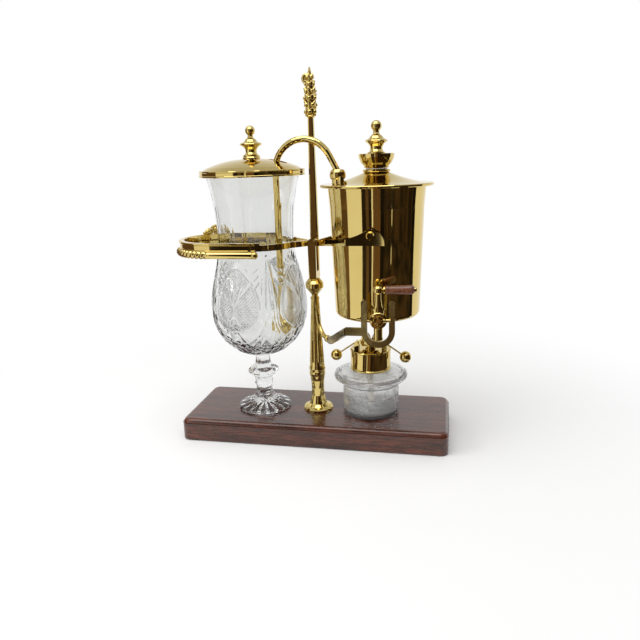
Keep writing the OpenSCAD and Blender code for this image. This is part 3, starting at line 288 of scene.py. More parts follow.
def plated(name, bright, deep, low, high, smear=30.0, ripple_scale=60.0, ripple=0.012):
    """A polished plated metal built on the cloudy polish group."""
    return surfaced(name, polished_plate, {
        "Bright": (*bright, 1), "Deep": (*deep, 1), "Smear Scale": smear, "Low Gloss": low,
        "High Gloss": high, "Ripple Scale": ripple_scale, "Ripple": ripple}, {"Metallic": 1.0})


gold = plated("gold_plate", (0.72, 0.57, 0.215), (0.63, 0.465, 0.145), 0.03, 0.08)
steel = plated("plain_steel", (0.62, 0.60, 0.57), (0.50, 0.49, 0.47), 0.25, 0.4, 80.0, 200.0, 0.1)
cast_brass = plated("aged_brass", (0.34, 0.26, 0.105), (0.20, 0.15, 0.055), 0.12, 0.28, 60.0, 160.0, 0.08)


def dress(node, material):
    """Gives a carried-over CAD node its material."""
    mesh = frame["nodes"][node].data
    mesh.materials.clear()
    mesh.materials.append(material)


record_slots = {part["node"]: part["material_slot"] for part in frame["record"]["subparts"]}
plain_metals = {"gold_plate": gold, "satin_gold": gold, "aged_brass": cast_brass, "steel_fixings": steel}
for node, slot_name in record_slots.items():
    if slot_name in plain_metals:
        dress(node, plain_metals[slot_name])

# ---------- cut glass goblet ----------
# One blown and turned crystal piece: foot, knopped stem, tulip bowl. Its outside is cut with
# flutes under the rim and, on the belly, hatched panels with sprigs between crossing mitre arches.
goblet_at = (-0.065, 0.0, 0.025)
bowl_low, belly_z, waist_z, bowl_high = 0.066, 0.122, 0.200, 0.271
neck_radius, belly_radius, waist_radius, rim_radius = 0.009, 0.0544, 0.0422, 0.0516
glass_wall = 0.0034
# heights are over the goblet's seat; a panel, arch or hem has its low, mid, top and half width
panel_count, panel_turn = 4, math.radians(-105.0)
panel_low, panel_mid, panel_top, panel_wide = 0.104, 0.126, 0.172, 0.0300
arch_low, arch_mid, arch_top, arch_wide = 0.088, 0.122, 0.184, 0.0360
twin_drop, twin_wide, twin_top = 0.005, 0.0036, 0.020
hem_low, hem_mid, hem_wide = 0.076, 0.104, 0.0380
arch_gap, end_margin = 0.0006, 0.002
# how deep each kind of cut goes, and half the width of each V cut
cut_depth = {"panel": 0.0010, "mitre": 0.0013, "twin": 0.0008, "hem": 0.0010, "sprig": 0.0012,
             "lens": 0.0015, "fan": 0.0010, "corner": 0.0009, "petal": 0.0010, "flute": 0.00022,
             "ray": 0.0007}
cut_half = {"panel": 0.0017, "mitre": 0.0024, "twin": 0.0014, "scallop": 0.0020, "hem": 0.0019}
# scallops that cross from panel to panel: low, mid, half width, depth of cut
scallops = ((0.078, 0.114, 0.0400, 0.0012), (0.072, 0.100, 0.0330, 0.0010), (0.083, 0.122, 0.0425, 0.0009))
# a leaf's foot height, lean from upright in degrees, length and half width
lens_leaf = (0.098, 0, 0.076, 0.0052)
sprig_stem = (0.112, 0, 0.062, 0.0019)
sprig_leaves = ((0.128, 20, 0.040, 0.0026), (0.136, 42, 0.032, 0.0026), (0.146, 66, 0.024, 0.0022),
                (0.124, 150, 0.015, 0.0017), (0.120, 112, 0.013, 0.0015))
fan_leaves = [(0.171, lean, 0.017, 0.0019) for lean in (-78, -56, -34, -12, 12, 34, 56, 78)]
corner_feet, corner_out = (0.150, 0.158, 0.166), 0.0225
corner_lean, corner_length, corner_half = 0.8, 0.012, 0.0016
# rows of petals from the belly down to the stem: low, high, and the share of a petal they are turned by
petal_rows = ((0.088, 0.101, 0.5), (0.079, 0.092, 0.0), (0.0695, 0.083, 0.5))
petal_count, petal_half = 28, 0.44
flute_count, flute_half = 20, 0.46
hatch_pitch = 0.0018
stem_facets, foot_rays = 8, 16


def bowl_radius(z):
    """Outside radius: a quarter sine to the belly, a half cosine to the waist, a power curve to the rim."""
    swell = np.clip((z - bowl_low) / (belly_z - bowl_low), 0, 1)
    narrowing = np.clip((z - belly_z) / (waist_z - belly_z), 0, 1)
    flare = np.clip((z - waist_z) / (bowl_high - waist_z), 0, 1)
    belly = neck_radius + (belly_radius - neck_radius) * np.sin(np.pi / 2 * swell ** 0.62) ** 0.92
    waist = belly_radius + (waist_radius - belly_radius) * (1 - np.cos(np.pi * narrowing)) / 2
    top = waist_radius + (rim_radius - waist_radius) * flare ** 2.2
    return np.where(z < belly_z, belly, np.where(z < waist_z, waist, top))


def groove(distance, half_width):
    """A V cut: deepest where the distance is nought, and nothing beyond its half width."""
    return np.clip(1 - np.abs(distance) / half_width, 0, 1)


def leaf_cut(u, z, foot, lean, length, half_width):
    """A lens cut: a groove along a line that leans from upright, narrowing to both its ends."""
    y = z - foot
    t = (u * math.sin(lean) + y * math.cos(lean)) / length
    off = u * math.cos(lean) - y * math.sin(lean)
    width = half_width * np.sqrt(np.clip(1 - (2 * t - 1) ** 2, 1e-6, 1))
    return np.where((t > 0) & (t < 1), groove(off, width) * width / half_width, 0)


def smooth(x, low, high):
    """Rises smoothly from 0 at low to 1 at high."""
    t = np.clip((x - low) / (high - low), 0, 1)
    return t * t * (3 - 2 * t)


def arch(z, low, mid, wide, top, top_wide):
    """Half width of an arch: half an ellipse from low to mid, then it runs to its top width."""
    under = wide * np.sqrt(np.clip(1 - ((mid - z) / (mid - low)) ** 2, 0, 1))
    over = wide + (top_wide - wide) * np.clip((z - mid) / (top - mid), 0, 1) ** 1.5
    return np.where(z < mid, under, over)


def cup(z, low, mid, wide):
    """Half width of a scallop: half an ellipse from low to mid, and straight up from there."""
    return arch(z, low, mid, wide, 1, wide)


def outline_cut(u, z, shape, half_width):
    """A V groove along an arch's outline, kept as wide where the outline runs flat."""
    slope = np.gradient(shape, z[:, 0], axis=0)
    away = (np.abs(u) - shape) / np.sqrt(1 + np.clip(slope, -12, 12) ** 2)
    return groove(away, half_width)


def panel_edge(z):
    """Half width of a hatched panel: half an ellipse below its middle, a pointed arch above."""
    rise = (z - panel_mid) / (panel_top - panel_mid)
    ogive = panel_wide * np.sqrt(np.clip(1 - rise ** 2, 0, 1)) ** 1.1
    return np.where(z < panel_mid, arch(z, panel_low, panel_mid, panel_wide, panel_top, 0), ogive)


def arch_cuts(u, far, z, half):
    """Cuts round each panel, twin arches outside it, scallops from panel to panel, and a hem below."""
    on_belly = smooth(z, 0.074, 0.080) * (1 - smooth(z, 0.183, 0.187))
    by_panel = (z > panel_low - end_margin) * (z < panel_top)
    main = arch(z, arch_low, arch_mid, arch_wide, arch_top, half - arch_gap)
    twin = arch(z, arch_low - twin_drop, arch_mid, arch_wide + twin_wide, arch_top - twin_top, half)
    over_main, over_twin = z > arch_low - end_margin, z > arch_low - twin_drop - end_margin / 2
    cuts = [cut_depth["panel"] * by_panel * outline_cut(u, z, panel_edge(z), cut_half["panel"]),
            cut_depth["mitre"] * on_belly * over_main * outline_cut(u, z, main, cut_half["mitre"]),
            cut_depth["twin"] * on_belly * over_twin * outline_cut(u, z, twin, cut_half["twin"])]
    for low, mid, wide, depth in scallops:
        by_scallop = (z < mid) * (z > low - end_margin)
        scallop = cup(z, low, mid, wide)
        cuts.append(depth * by_scallop * outline_cut(far, z, scallop, cut_half["scallop"]))
    hem = cup(z, hem_low, hem_mid, hem_wide)
    cuts.append(cut_depth["hem"] * (z < hem_mid) * outline_cut(u, z, hem, cut_half["hem"]))
    return cuts


def leaf(u, z, foot, lean, length, half_width, side=1):
    """A leaf cut whose lean is in degrees, on one side of its panel or the other."""
    return leaf_cut(u, z, foot, side * math.radians(lean), length, half_width)


def sprig_cuts(u, z):
    """The sprig in a panel: a stem, and pairs of long and short leaves."""
    pairs = [leaf(u, z, *shape, side) for shape in sprig_leaves for side in (-1, 1)]
    return [cut_depth["sprig"] * cut for cut in [leaf(u, z, *sprig_stem)] + pairs]


def petal_cuts(turn, z):
    """Rows of short petals: each is a lens in height, and a V across its share of the turn."""
    ring = turn * petal_count / (2 * math.pi)
    for low, high, shift in petal_rows:
        t = (z - low) / (high - low)
        lens = np.sqrt(np.clip(1 - (2 * t - 1) ** 2, 0, 1)) * petal_half + 1e-6
        across = groove((ring + shift) % 1 - 0.5, lens)
        yield cut_depth["petal"] * (t > 0) * (t < 1) * across * lens / petal_half


def flute_cut(turn, z):
    """Round flutes from the waist to under the rim, with a rounded top."""
    flute = (turn * flute_count / (2 * math.pi)) % 1 - 0.5
    reach = smooth(z, 0.187, 0.193) * (1 - smooth(z + 0.02 * flute ** 2 * 4, 0.240, 0.252))
    return cut_depth["flute"] * reach * np.sqrt(np.clip(1 - (flute / flute_half) ** 2, 0, 1))


def bowl_cuts(turn, z):
    """Depth of all the cuts at a turn and a height, and a mask that is 1 on the hatched panels."""
    pitch = 2 * math.pi / panel_count
    # u runs across from the nearest panel's middle, and far from the nearest gap's middle
    u = ((turn - panel_turn + pitch / 2) % pitch - pitch / 2) * belly_radius
    far = ((turn - panel_turn) % pitch - pitch / 2) * belly_radius
    sprig = sprig_cuts(u, z)
    cuts = arch_cuts(u, far, z, pitch / 2 * belly_radius) + sprig
    # a tall lens stands between two arches, a fan over the sprig, and short cuts in the panel's corners
    cuts.append(cut_depth["lens"] * leaf(far, z, *lens_leaf))
    cuts += [cut_depth["fan"] * leaf(u, z, *shape) for shape in fan_leaves]
    corner = np.abs(u) - corner_out
    corner_cuts = [leaf_cut(corner, z, foot, side * corner_lean, corner_length, corner_half)
                   for foot in corner_feet for side in (-1, 1)]
    cuts += [cut_depth["corner"] * cut for cut in corner_cuts]
    cuts += [*petal_cuts(turn, z), flute_cut(turn, z)]
    # the sprig is left clear of hatching, but for its last leaf
    clear = smooth(np.maximum.reduce(sprig[:-1]), 0.0, 0.0003)
    inside = smooth(panel_edge(z) - np.abs(u), 0.0012, 0.0022) * (z > panel_low) * (z < panel_top)
    shape = np.broadcast_shapes(turn.shape, z.shape)
    return np.maximum.reduce([np.broadcast_to(cut, shape) for cut in cuts]), inside * (1 - clear)


def grid_skin(rings):
    """Points and faces of a closed skin: rings[i, j] is ring i's point j; each end is a fan to its mean."""
    rows, columns, _ = rings.shape
    points = np.concatenate([rings.reshape(-1, 3), rings[:1].mean(1), rings[-1:].mean(1)])
    i, j = np.meshgrid(np.arange(rows - 1), np.arange(columns), indexing="ij")
    k = (j + 1) % columns
    quads = np.stack([i * columns + j, i * columns + k, (i + 1) * columns + k, (i + 1) * columns + j], -1)
    j = np.arange(columns)
    k = (j + 1) % columns
    last = (rows - 1) * columns
    first_fan = np.stack([np.full(columns, rows * columns), k, j], 1)
    last_fan = np.stack([np.full(columns, rows * columns + 1), last + j, last + k], 1)
    return points, quads.reshape(-1, 4), np.concatenate([first_fan, last_fan])


def fused(name, skins, sharp_from=None):
    """One object from several closed skins, smooth but for edges sharper than an angle in degrees."""
    parts = [grid_skin(rings) for rings in skins]
    shifts = np.cumsum([0] + [len(points) for points, _, _ in parts])
    points = np.concatenate([part[0] for part in parts])
    quads = np.concatenate([part[1] + shift for part, shift in zip(parts, shifts)])
    fans = np.concatenate([part[2] + shift for part, shift in zip(parts, shifts)])
    corners = np.concatenate([quads.ravel(), fans.ravel()])
    starts = np.concatenate([np.arange(len(quads)) * 4, quads.size + np.arange(len(fans)) * 3])
    mesh = bpy.data.meshes.new(name)
    mesh.vertices.add(len(points))
    mesh.vertices.foreach_set("co", points.astype(np.float32).ravel())
    mesh.loops.add(len(corners))
    mesh.loops.foreach_set("vertex_index", corners.astype(np.int32))
    mesh.polygons.add(len(starts))
    mesh.polygons.foreach_set("loop_start", starts.astype(np.int32))
    mesh.update(calc_edges=True)
    mesh.validate()
    mesh.shade_smooth()
    if sharp_from:
        mesh.set_sharp_from_angle(angle=math.radians(sharp_from))
    made = bpy.data.objects.new(name, mesh)
    bpy.context.scene.collection.objects.link(made)
    return made


columns = 400
turn = np.arange(columns) * 2 * math.pi / columns
# the foot's underside, its edge and top, the stem with its two knops, and the neck, in millimetres
underside = [(3, 3.3), (8, 3.2), (14, 2.8), (20, 2.0), (25, 0.9), (27.6, 0.1)]
foot_top = [(28.2, 0), (29.5, 0), (30.6, 0.5), (31, 1.2), (31, 2.4), (30.6, 3.4), (28.6, 4.3), (26, 5.4),
            (22, 7), (18, 9), (14.4, 11.6)]
knops = [(11.6, 15), (10, 18.4), (9.2, 22), (9, 25), (9.6, 26.6), (10.6, 28), (11, 30), (11, 32),
         (10.6, 34), (10.4, 35.4), (12, 38), (14.8, 40.2), (17.4, 42.4), (18.2, 45), (17, 47.6),
         (14, 49.4), (11, 51)]
neck = [(9.6, 52.8), (8.9, 54.6), (8.5, 57.4), (8.4, 60), (8.6, 63)]
stem = np.array(underside + foot_top + knops + neck) / 1000
outer_z = np.concatenate([np.linspace(0.066, 0.186, 112), np.linspace(0.1885, 0.2698, 26)])
inner_z = np.concatenate([np.linspace(0.268, 0.078, 24), [0.0755]])
cut, hatch = bowl_cuts(turn[None, :], outer_z[:, None])
# flat facets run up the stem, and shallow rays are cut into the top of the foot
flat = 2 * math.pi / stem_facets
facet = math.cos(flat / 2) / np.cos((turn + flat / 2) % flat - flat / 2)
faceted = np.interp(stem[:, 1], [0.012, 0.018, 0.060, 0.066], [0, 1, 1, 0])[:, None]
ray = groove((turn * foot_rays / (2 * math.pi)) % 1 - 0.5, 0.3)
rayed = np.interp(stem[:, 1], [0.0035, 0.005, 0.009, 0.012], [0, 1, 1, 0])[:, None]
rayed *= stem[:, :1] < 0.0295
stem_r = stem[:, :1] * (1 + faceted * (facet[None, :] - 1)) - cut_depth["ray"] * rayed * ray[None, :]
outer_r = bowl_radius(outer_z)[:, None] - cut
thicker_floor = glass_wall * np.clip(1 - (inner_z - 0.075) / 0.068, 0, 1)
inner_r = bowl_radius(inner_z - thicker_floor) - glass_wall
rim = np.array([(rim_radius - 0.0001, bowl_high - 0.0006), (rim_radius - 0.0009, bowl_high),
                (rim_radius - 0.0025, bowl_high), (rim_radius - 0.0033, bowl_high - 0.0006)])
floor_in = np.array([(max(inner_r[-1] * 0.7, 0.004), 0.0747), (0.002, 0.0744)])
turned = [np.repeat(r[:, None], columns, 1) for r in (rim[:, 0], inner_r, floor_in[:, 0])]
radii = np.concatenate([stem_r, outer_r] + turned)
heights = np.concatenate([stem[:, 1], outer_z, rim[:, 1], inner_z, floor_in[:, 1]])
rings = np.stack([radii * np.cos(turn), radii * np.sin(turn), np.repeat(heights[:, None], columns, 1)], -1)
rings += np.array(goblet_at)
# under the foot the rays run down into the wooden base
ray_drop = 0.6
rings[:len(underside), :, 2] -= rings[:len(underside), :, 2] * ray_drop * ray
cut_goblet = fused("cut_goblet", [rings])
mask = np.zeros(len(cut_goblet.data.vertices), np.float32)
mask[len(stem) * columns:(len(stem) + len(outer_z)) * columns] = hatch.ravel()
cut_goblet.data.attributes.new("hatch", "FLOAT", "POINT").data.foreach_set("value", mask)
# the hatching's map runs round and up the belly; a face that closes the round is carried past its end
loops = np.zeros(len(cut_goblet.data.loops), np.int32)
cut_goblet.data.loops.foreach_get("vertex_index", loops)
point_u = np.concatenate([np.tile(turn, len(radii)), [0, 0]]) * belly_radius
point_v = np.concatenate([np.repeat(heights, columns), [0, 0]])
wraps = np.stack([point_u[loops], point_v[loops]], 1)
quad_corners = (len(radii) - 1) * columns * 4
quad_u = wraps[:quad_corners, 0].reshape(-1, 4)
closing = (quad_u.max(1) - quad_u.min(1) > belly_radius)[:, None]
quad_u = np.where(closing & (quad_u < belly_radius), quad_u + 2 * math.pi * belly_radius, quad_u)
wraps[:quad_corners, 0] = quad_u.ravel()
cut_goblet.data.uv_layers.new(name="round").data.foreach_set("uv", wraps.astype(np.float32).ravel())

# the hatching is two sets of slanting V cuts, worked into the glass as a bump where the mask is 1
crystal, tree, shader = new_material("cut_crystal")
place = add_node(tree, "ShaderNodeUVMap", uv_map="round")
split = add_node(tree, "ShaderNodeSeparateXYZ", {"Vector": place.outputs["UV"]})
folds = []
for slant in ("ADD", "SUBTRACT"):
    across = add_node(tree, "ShaderNodeMath", {0: split.outputs["X"], 1: split.outputs["Y"]},
                      operation=slant)
    fold = add_node(tree, "ShaderNodeMath", {0: across.outputs[0], 1: hatch_pitch}, operation="PINGPONG")
    folds.append(fold.outputs[0])
low = add_node(tree, "ShaderNodeMath", {0: folds[0], 1: folds[1]}, operation="MINIMUM")
hatched = add_node(tree, "ShaderNodeAttribute", attribute_name="hatch")
height = add_node(tree, "ShaderNodeMath", {0: low.outputs[0], 1: hatched.outputs["Fac"]},
                  operation="MULTIPLY")
relief = add_node(tree, "ShaderNodeBump", {"Distance": 0.55, "Height": height.outputs[0]})
frost = add_node(tree, "ShaderNodeMapRange", {
    "Value": hatched.outputs["Fac"], "To Min": 0.0, "To Max": 0.05})
# the crystal's grey tint is painted shade: the clear glass is darkened to stand in for the dim room seen
# through it
feed(tree, shader, {"Transmission Weight": 1.0, "IOR": 1.52, "Base Color": (0.868, 0.874, 0.866, 1),
                    "Roughness": frost.outputs["Result"], "Normal": relief.outputs["Normal"]})
cut_goblet.data.materials.append(crystal)
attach(cut_goblet, "stand")
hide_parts("goblet")

# ---------- ornament at the mast's top ----------
# A cast ornament of lapped leaves over a small cup, with a volute curling out at the top
# and a pointed bud. It is cast in one piece with the mast.
pivot_z, mast_rise, ornament_tall = 0.219, 0.181, 0.050
mast_face_y, mast_thick = 0.0053, 0.0066
core_sides, core_ribs, core_depth, core_twist = 40, 5, 0.14, 420
leaf_turns, tier_rise, tier_shrink, first_tier = 5, 0.0068, 0.0002, 0.003
leaf_length, leaf_curl, leaf_wide, leaf_thick = 0.0078, 3.1, 0.0034, 0.0021
berry_out, berry_up, berry_radius = 0.0011, 0.0055, 0.0026
first_heading = 0.3
tier_reach = (0.0036, 0.0042, 0.0044, 0.0042, 0.0034, 0.0024)
volute_x, volute_z, volute_rounds = -0.0034, 0.0390, 1.35
bead_count, bead_reach, bead_up, bead_radius = 6, 0.0050, 0.0022, 0.0011


def swept(path, section, scales, up=(0.0, 0.0, 1.0)):
    """Rings of a section carried along a path and scaled on the way; it turns as little as it can."""
    path = np.asarray(path, float)
    section = np.asarray(section, float)
    tangent = np.gradient(path, axis=0)
    tangent /= np.linalg.norm(tangent, axis=1)[:, None]
    upward = np.zeros_like(path)
    last = np.asarray(up, float)
    for i, t in enumerate(tangent):
        last = last - t * np.dot(last, t)
        last /= np.linalg.norm(last)
        upward[i] = last
    side = np.cross(upward, tangent)
    scales = np.asarray(scales, float)
    scales = scales if scales.ndim == 2 else np.stack([scales, scales], 1)
    return (path[:, None, :] + scales[:, None, :1] * section[None, :, :1] * side[:, None, :]
            + scales[:, None, 1:] * section[None, :, 1:] * upward[:, None, :])


def ball_rings(middle, radius, rows=8, sides=12):
    """Rings of a ball: a half circle of points carried round its upright axis."""
    lift = np.linspace(-math.pi / 2, math.pi / 2, rows + 2)[1:-1, None]
    a = np.arange(sides)[None, :] * 2 * math.pi / sides
    ring = np.stack([np.cos(lift) * np.cos(a), np.cos(lift) * np.sin(a), np.sin(lift) + 0 * a], -1)
    return ring * radius + np.asarray(middle)


def oval(sides, wide, thick):
    """Points round an oval section, counter-clockwise."""
    a = np.arange(sides) * 2 * math.pi / sides
    return np.stack([wide * np.cos(a), thick * np.sin(a)], 1)


def curled_leaf(foot, heading, length, curl, wide, thick, steps=12, sides=10):
    """A leaf whose centre line climbs and then curls outwards; it is widest at a third of its length."""
    s = np.linspace(0, 1, steps)
    bend = np.cumsum(curl * s ** 1.6) / steps
    out = np.cumsum(np.sin(bend)) * length / steps
    rise = np.cumsum(np.cos(bend)) * length / steps
    way = np.array([math.cos(heading), math.sin(heading), 0])
    path = np.asarray(foot) + out[:, None] * way + rise[:, None] * np.array([0, 0, 1.0])
    width = np.clip(np.sin(np.pi * (0.12 + 0.86 * s) ** 0.8), 0.08, 1)
    body = 0.5 + 0.5 * width
    return swept(path, oval(sides, wide, thick), np.stack([width, body], 1), up=way)


def round_axis(heading, reach, height):
    """A place at a reach from an upright axis, in the direction of a heading."""
    return np.array([math.cos(heading) * reach, math.sin(heading) * reach, height])


centre = np.array([0, mast_face_y + mast_thick / 2, pivot_z + mast_rise - ornament_tall])
core_turn = np.arange(core_sides) * 2 * math.pi / core_sides
# the core: a small cup, then a slender twisted bud, in millimetres
core = np.array([(3.0, -0.4), (4.4, 0.2), (5.2, 1.2), (4.8, 2.4), (3.6, 3.2), (4.4, 6), (5.0, 12),
                 (5.0, 20), (4.7, 28), (3.8, 35), (2.6, 40), (1.9, 44), (1.2, 47.4), (0.5, 49.7)]) / 1000
above_cup = core[:, 1:] > first_tier
ribs = core_depth * np.sin(core_ribs * core_turn[None, :] + core[:, 1:] * core_twist)
radius = core[:, :1] * (1 + ribs * above_cup)
skins = [np.stack([radius * np.cos(core_turn), radius * np.sin(core_turn),
                   np.repeat(core[:, 1:], core_sides, 1)], -1) + centre]
# tiers of curled leaves lap one another, each leaf with a berry beside it
for tier, reach in enumerate(tier_reach):
    for k in range(leaf_turns):
        heading = 2 * math.pi * (k + 0.5 * (tier % 2)) / leaf_turns + first_heading
        foot = centre + round_axis(heading, reach, first_tier + tier * tier_rise)
        length, wide = leaf_length - tier * 0.0003, leaf_wide - tier * tier_shrink
        skins.append(curled_leaf(foot, heading, length, leaf_curl, wide, leaf_thick))
        beside = heading + math.pi / leaf_turns
        berry = centre + round_axis(beside, reach + berry_out, berry_up + tier * tier_rise)
        skins.append(ball_rings(berry, berry_radius - tier * tier_shrink))
# the volute at the top curls out to the left
volute_turn = np.linspace(0, volute_rounds * 2 * math.pi, 40)
share = volute_turn / volute_turn[-1]
coil = 0.0042 * (1 - 0.72 * share)
volute = centre + np.stack([
    volute_x - coil * np.sin(volute_turn) * 0.9, 0 * share, volute_z - coil * np.cos(volute_turn)], 1)
skins.append(swept(volute, oval(12, 0.0022, 0.0018), 1.05 - 0.35 * share, up=(0, 1, 0)))
# a ring of beads round the cup
for k in range(bead_count):
    bead = centre + round_axis(2 * math.pi * k / bead_count, bead_reach, bead_up)
    skins.append(ball_rings(bead, bead_radius))
mast_ornament = fused("mast_ornament", skins, 50)
mast_ornament.data.materials.append(gold)
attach(mast_ornament, "stand")
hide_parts("mast_finial")

# ---------- counterweight ----------
# A cast channel round the goblet: a flat wall with a bead on top, a thin reed at its foot and a
# thick rounded lip below, roped round the end. A flower between leaves stands on the wall.
ring_radius, weight_x, weight_z = 0.0456, -0.101, 0.2085
tail_x, lip_x, ring_end_x = -0.046, -0.051, -0.065
side_step, lip_start = 0.0010, 0.0001
rope_pitch, rope_depth, rope_slant = 0.0052, 0.17, 1.5
lip_out, lip_up, lip_radius = 0.0050, 0.0041, 0.0038
wall_out, tail_out, wall_low, wall_high = 0.0050, 0.0031, 0.0081, 0.0164

# the channel's way: a straight side, a half circle round the end, and back; (x, y, outward x, outward y)
straight = np.arange(0, lip_x - weight_x + lip_start, side_step)
round_turn = np.radians(np.arange(-90, -270.5, -1.0))
side_way = np.stack([lip_x - straight, 0 * straight - ring_radius, 0 * straight, 0 * straight - 1], 1)
tip = np.array([(tail_x, -ring_radius, 0, -1), (lip_x + lip_start, -ring_radius, 0, -1)])
bend = np.stack([weight_x + ring_radius * np.cos(round_turn), ring_radius * np.sin(round_turn),
                 np.cos(round_turn), np.sin(round_turn)], 1)
one_side = np.concatenate([tip, side_way[:-1]])
way = np.concatenate([one_side, bend, (one_side * [1, -1, 1, -1])[::-1]])
run_on = np.concatenate([[0], np.cumsum(np.linalg.norm(np.diff(way[:, :2], axis=0), axis=1))])
# the lip's section is an arc that swells like a rope where the way turns
roped = smooth(np.abs(way[:, 2]), 0.03, 0.12)[:, None]
roll = np.radians(np.linspace(-120, 78, 24))[None, :]
swirl = 1 + rope_depth * roped * np.cos(2 * math.pi * run_on[:, None] / rope_pitch + rope_slant * roll)
roll_out = lip_out + lip_radius * swirl * np.cos(roll)
roll_up = lip_up + lip_radius * swirl * np.sin(roll)
# the rest of the section, in millimetres: the wall's outside, the bead, the wall's inside and its foot
reed = np.radians(np.linspace(-70, 90, 10))
reed_part = np.stack([5.4 + 0.8 * np.cos(reed), 8.4 + 0.7 * np.sin(reed)], 1)
wall_part = [(5.0, 9.3), (5.0, 13.9), (5.6, 14.1), (6.1, 14.6), (6.2, 15.3), (6.1, 16.0), (5.6, 16.4),
             (5.0, 16.5), (0.5, 16.5), (0.1, 16.3), (0, 15.9), (0, 0.4), (0.3, 0.05), (2.4, 0.0)]
fixed = np.concatenate([reed_part, wall_part]) / 1000
out = np.concatenate([roll_out, np.repeat(fixed[None, :, 0], len(way), 0)], 1)
up = np.concatenate([roll_up, np.repeat(fixed[None, :, 1], len(way), 0)], 1)
# towards the pivot the section thins to a tail, and past the lip's end only the wall goes on
tail = way[:, :1] > ring_end_x
plate = way[:, :1] > lip_x
out = np.where(tail, np.maximum(out, tail_out), out)
out = np.where(plate, np.minimum(out, wall_out), out)
up = np.where(plate, np.clip(up, wall_low, wall_high), up)
rings = np.stack([way[:, :1] + out * way[:, 2:3], way[:, 1:2] + out * way[:, 3:4], weight_z + up], -1)
skins = [rings[:, ::-1]]
for side in (-1, 1):
    lip_end = (lip_x - 0.001, side * (ring_radius + 0.0055), weight_z + 0.0040)
    skins.append(ball_rings(lip_end, 0.0040, 10, 20))
counterweight_casting = fused("counterweight_casting", skins, 35)
counterweight_casting.data.materials.append(gold)
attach(counterweight_casting, "beam")
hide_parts("counterweight")

# a flower of round petals about a button, off the middle of the end
flower_turn, flower_up, petal_reach, petals = math.radians(124), 0.0052, 0.0038, 8
button_radius, petal_radius = 0.0028, 0.0021
outward = np.array([math.cos(flower_turn), math.sin(flower_turn), 0.0])
sideways = np.array([-math.sin(flower_turn), math.cos(flower_turn), 0.0])
upward = np.array([0, 0, 1.0])
wall_top = np.array([weight_x, 0, weight_z + 0.0165]) + outward * (ring_radius + 0.0025)
skins = [ball_rings(wall_top + upward * flower_up - outward * 0.001, button_radius, 8, 16)]
for k in range(petals):
    a = 2 * math.pi * k / petals
    petal = upward * (flower_up + petal_reach * math.sin(a)) + sideways * petal_reach * math.cos(a)
    skins.append(ball_rings(wall_top + petal, petal_radius, 6, 12))
# three leaves and berries on each side follow the wall as it bends away; a leaf's reach and length
spray = ((0.0030, 0.0085), (0.0068, 0.0075), (0.0100, 0.0060))
wall_bend = 0.1
for side in (-1, 1):
    heading = math.atan2(sideways[1] * side, sideways[0] * side)
    for reach, length in spray:
        bent_wall = wall_top - outward * reach * reach / wall_bend
        foot = bent_wall + sideways * side * reach
        skins.append(curled_leaf(foot, heading, length, 2.6, 0.0028, 0.0021))
        berry = bent_wall + sideways * side * (reach + 0.003) + upward * 0.0014
        skins.append(ball_rings(berry, 0.0024, 6, 12))
flower = fused("counterweight_flower", skins, 50)
flower.data.materials.append(gold)
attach(flower, "beam")
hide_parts("counterweight_ornament")

# ---------- mast and fork ----------
# One brass casting under bright gold plate: the upright mast and the fork that carries the beam.
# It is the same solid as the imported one, with its long edges filed to a narrow bevel.
bevel, shortest_edge = 0.0014, 0.02
mast = frame["nodes"]["column_fork"].copy()
mast.data = mast.data.copy()
mast.name = "filed_mast"
bpy.context.scene.collection.objects.link(mast)
shape = bmesh.new()
shape.from_mesh(mast.data)
bmesh.ops.remove_doubles(shape, verts=shape.verts, dist=1e-6)
bmesh.ops.dissolve_limit(shape, angle_limit=math.radians(0.5), verts=shape.verts, edges=shape.edges)
long_edges = [edge for edge in shape.edges
              if len(edge.link_faces) == 2 and edge.calc_face_angle(0) > math.radians(40)
              and edge.calc_length() > shortest_edge
              and abs((edge.verts[0].co - edge.verts[1].co).normalized().z) > 0.9]
bmesh.ops.bevel(shape, geom=long_edges, offset=bevel, segments=2, profile=0.6, affect="EDGES")
shape.to_mesh(mast.data)
shape.free()
mast.data.shade_smooth()
mast.data.set_sharp_from_angle(angle=math.radians(25))
mast.data.materials.clear()
mast.data.materials.append(gold)
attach(mast, "stand")
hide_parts("column_fork")

# ---------- wooden base and tap handle ----------
# The base is a moulded board of dark red-brown wood under thick clear varnish, with felt under it;
# the tap's handle is turned from a lighter red wood.


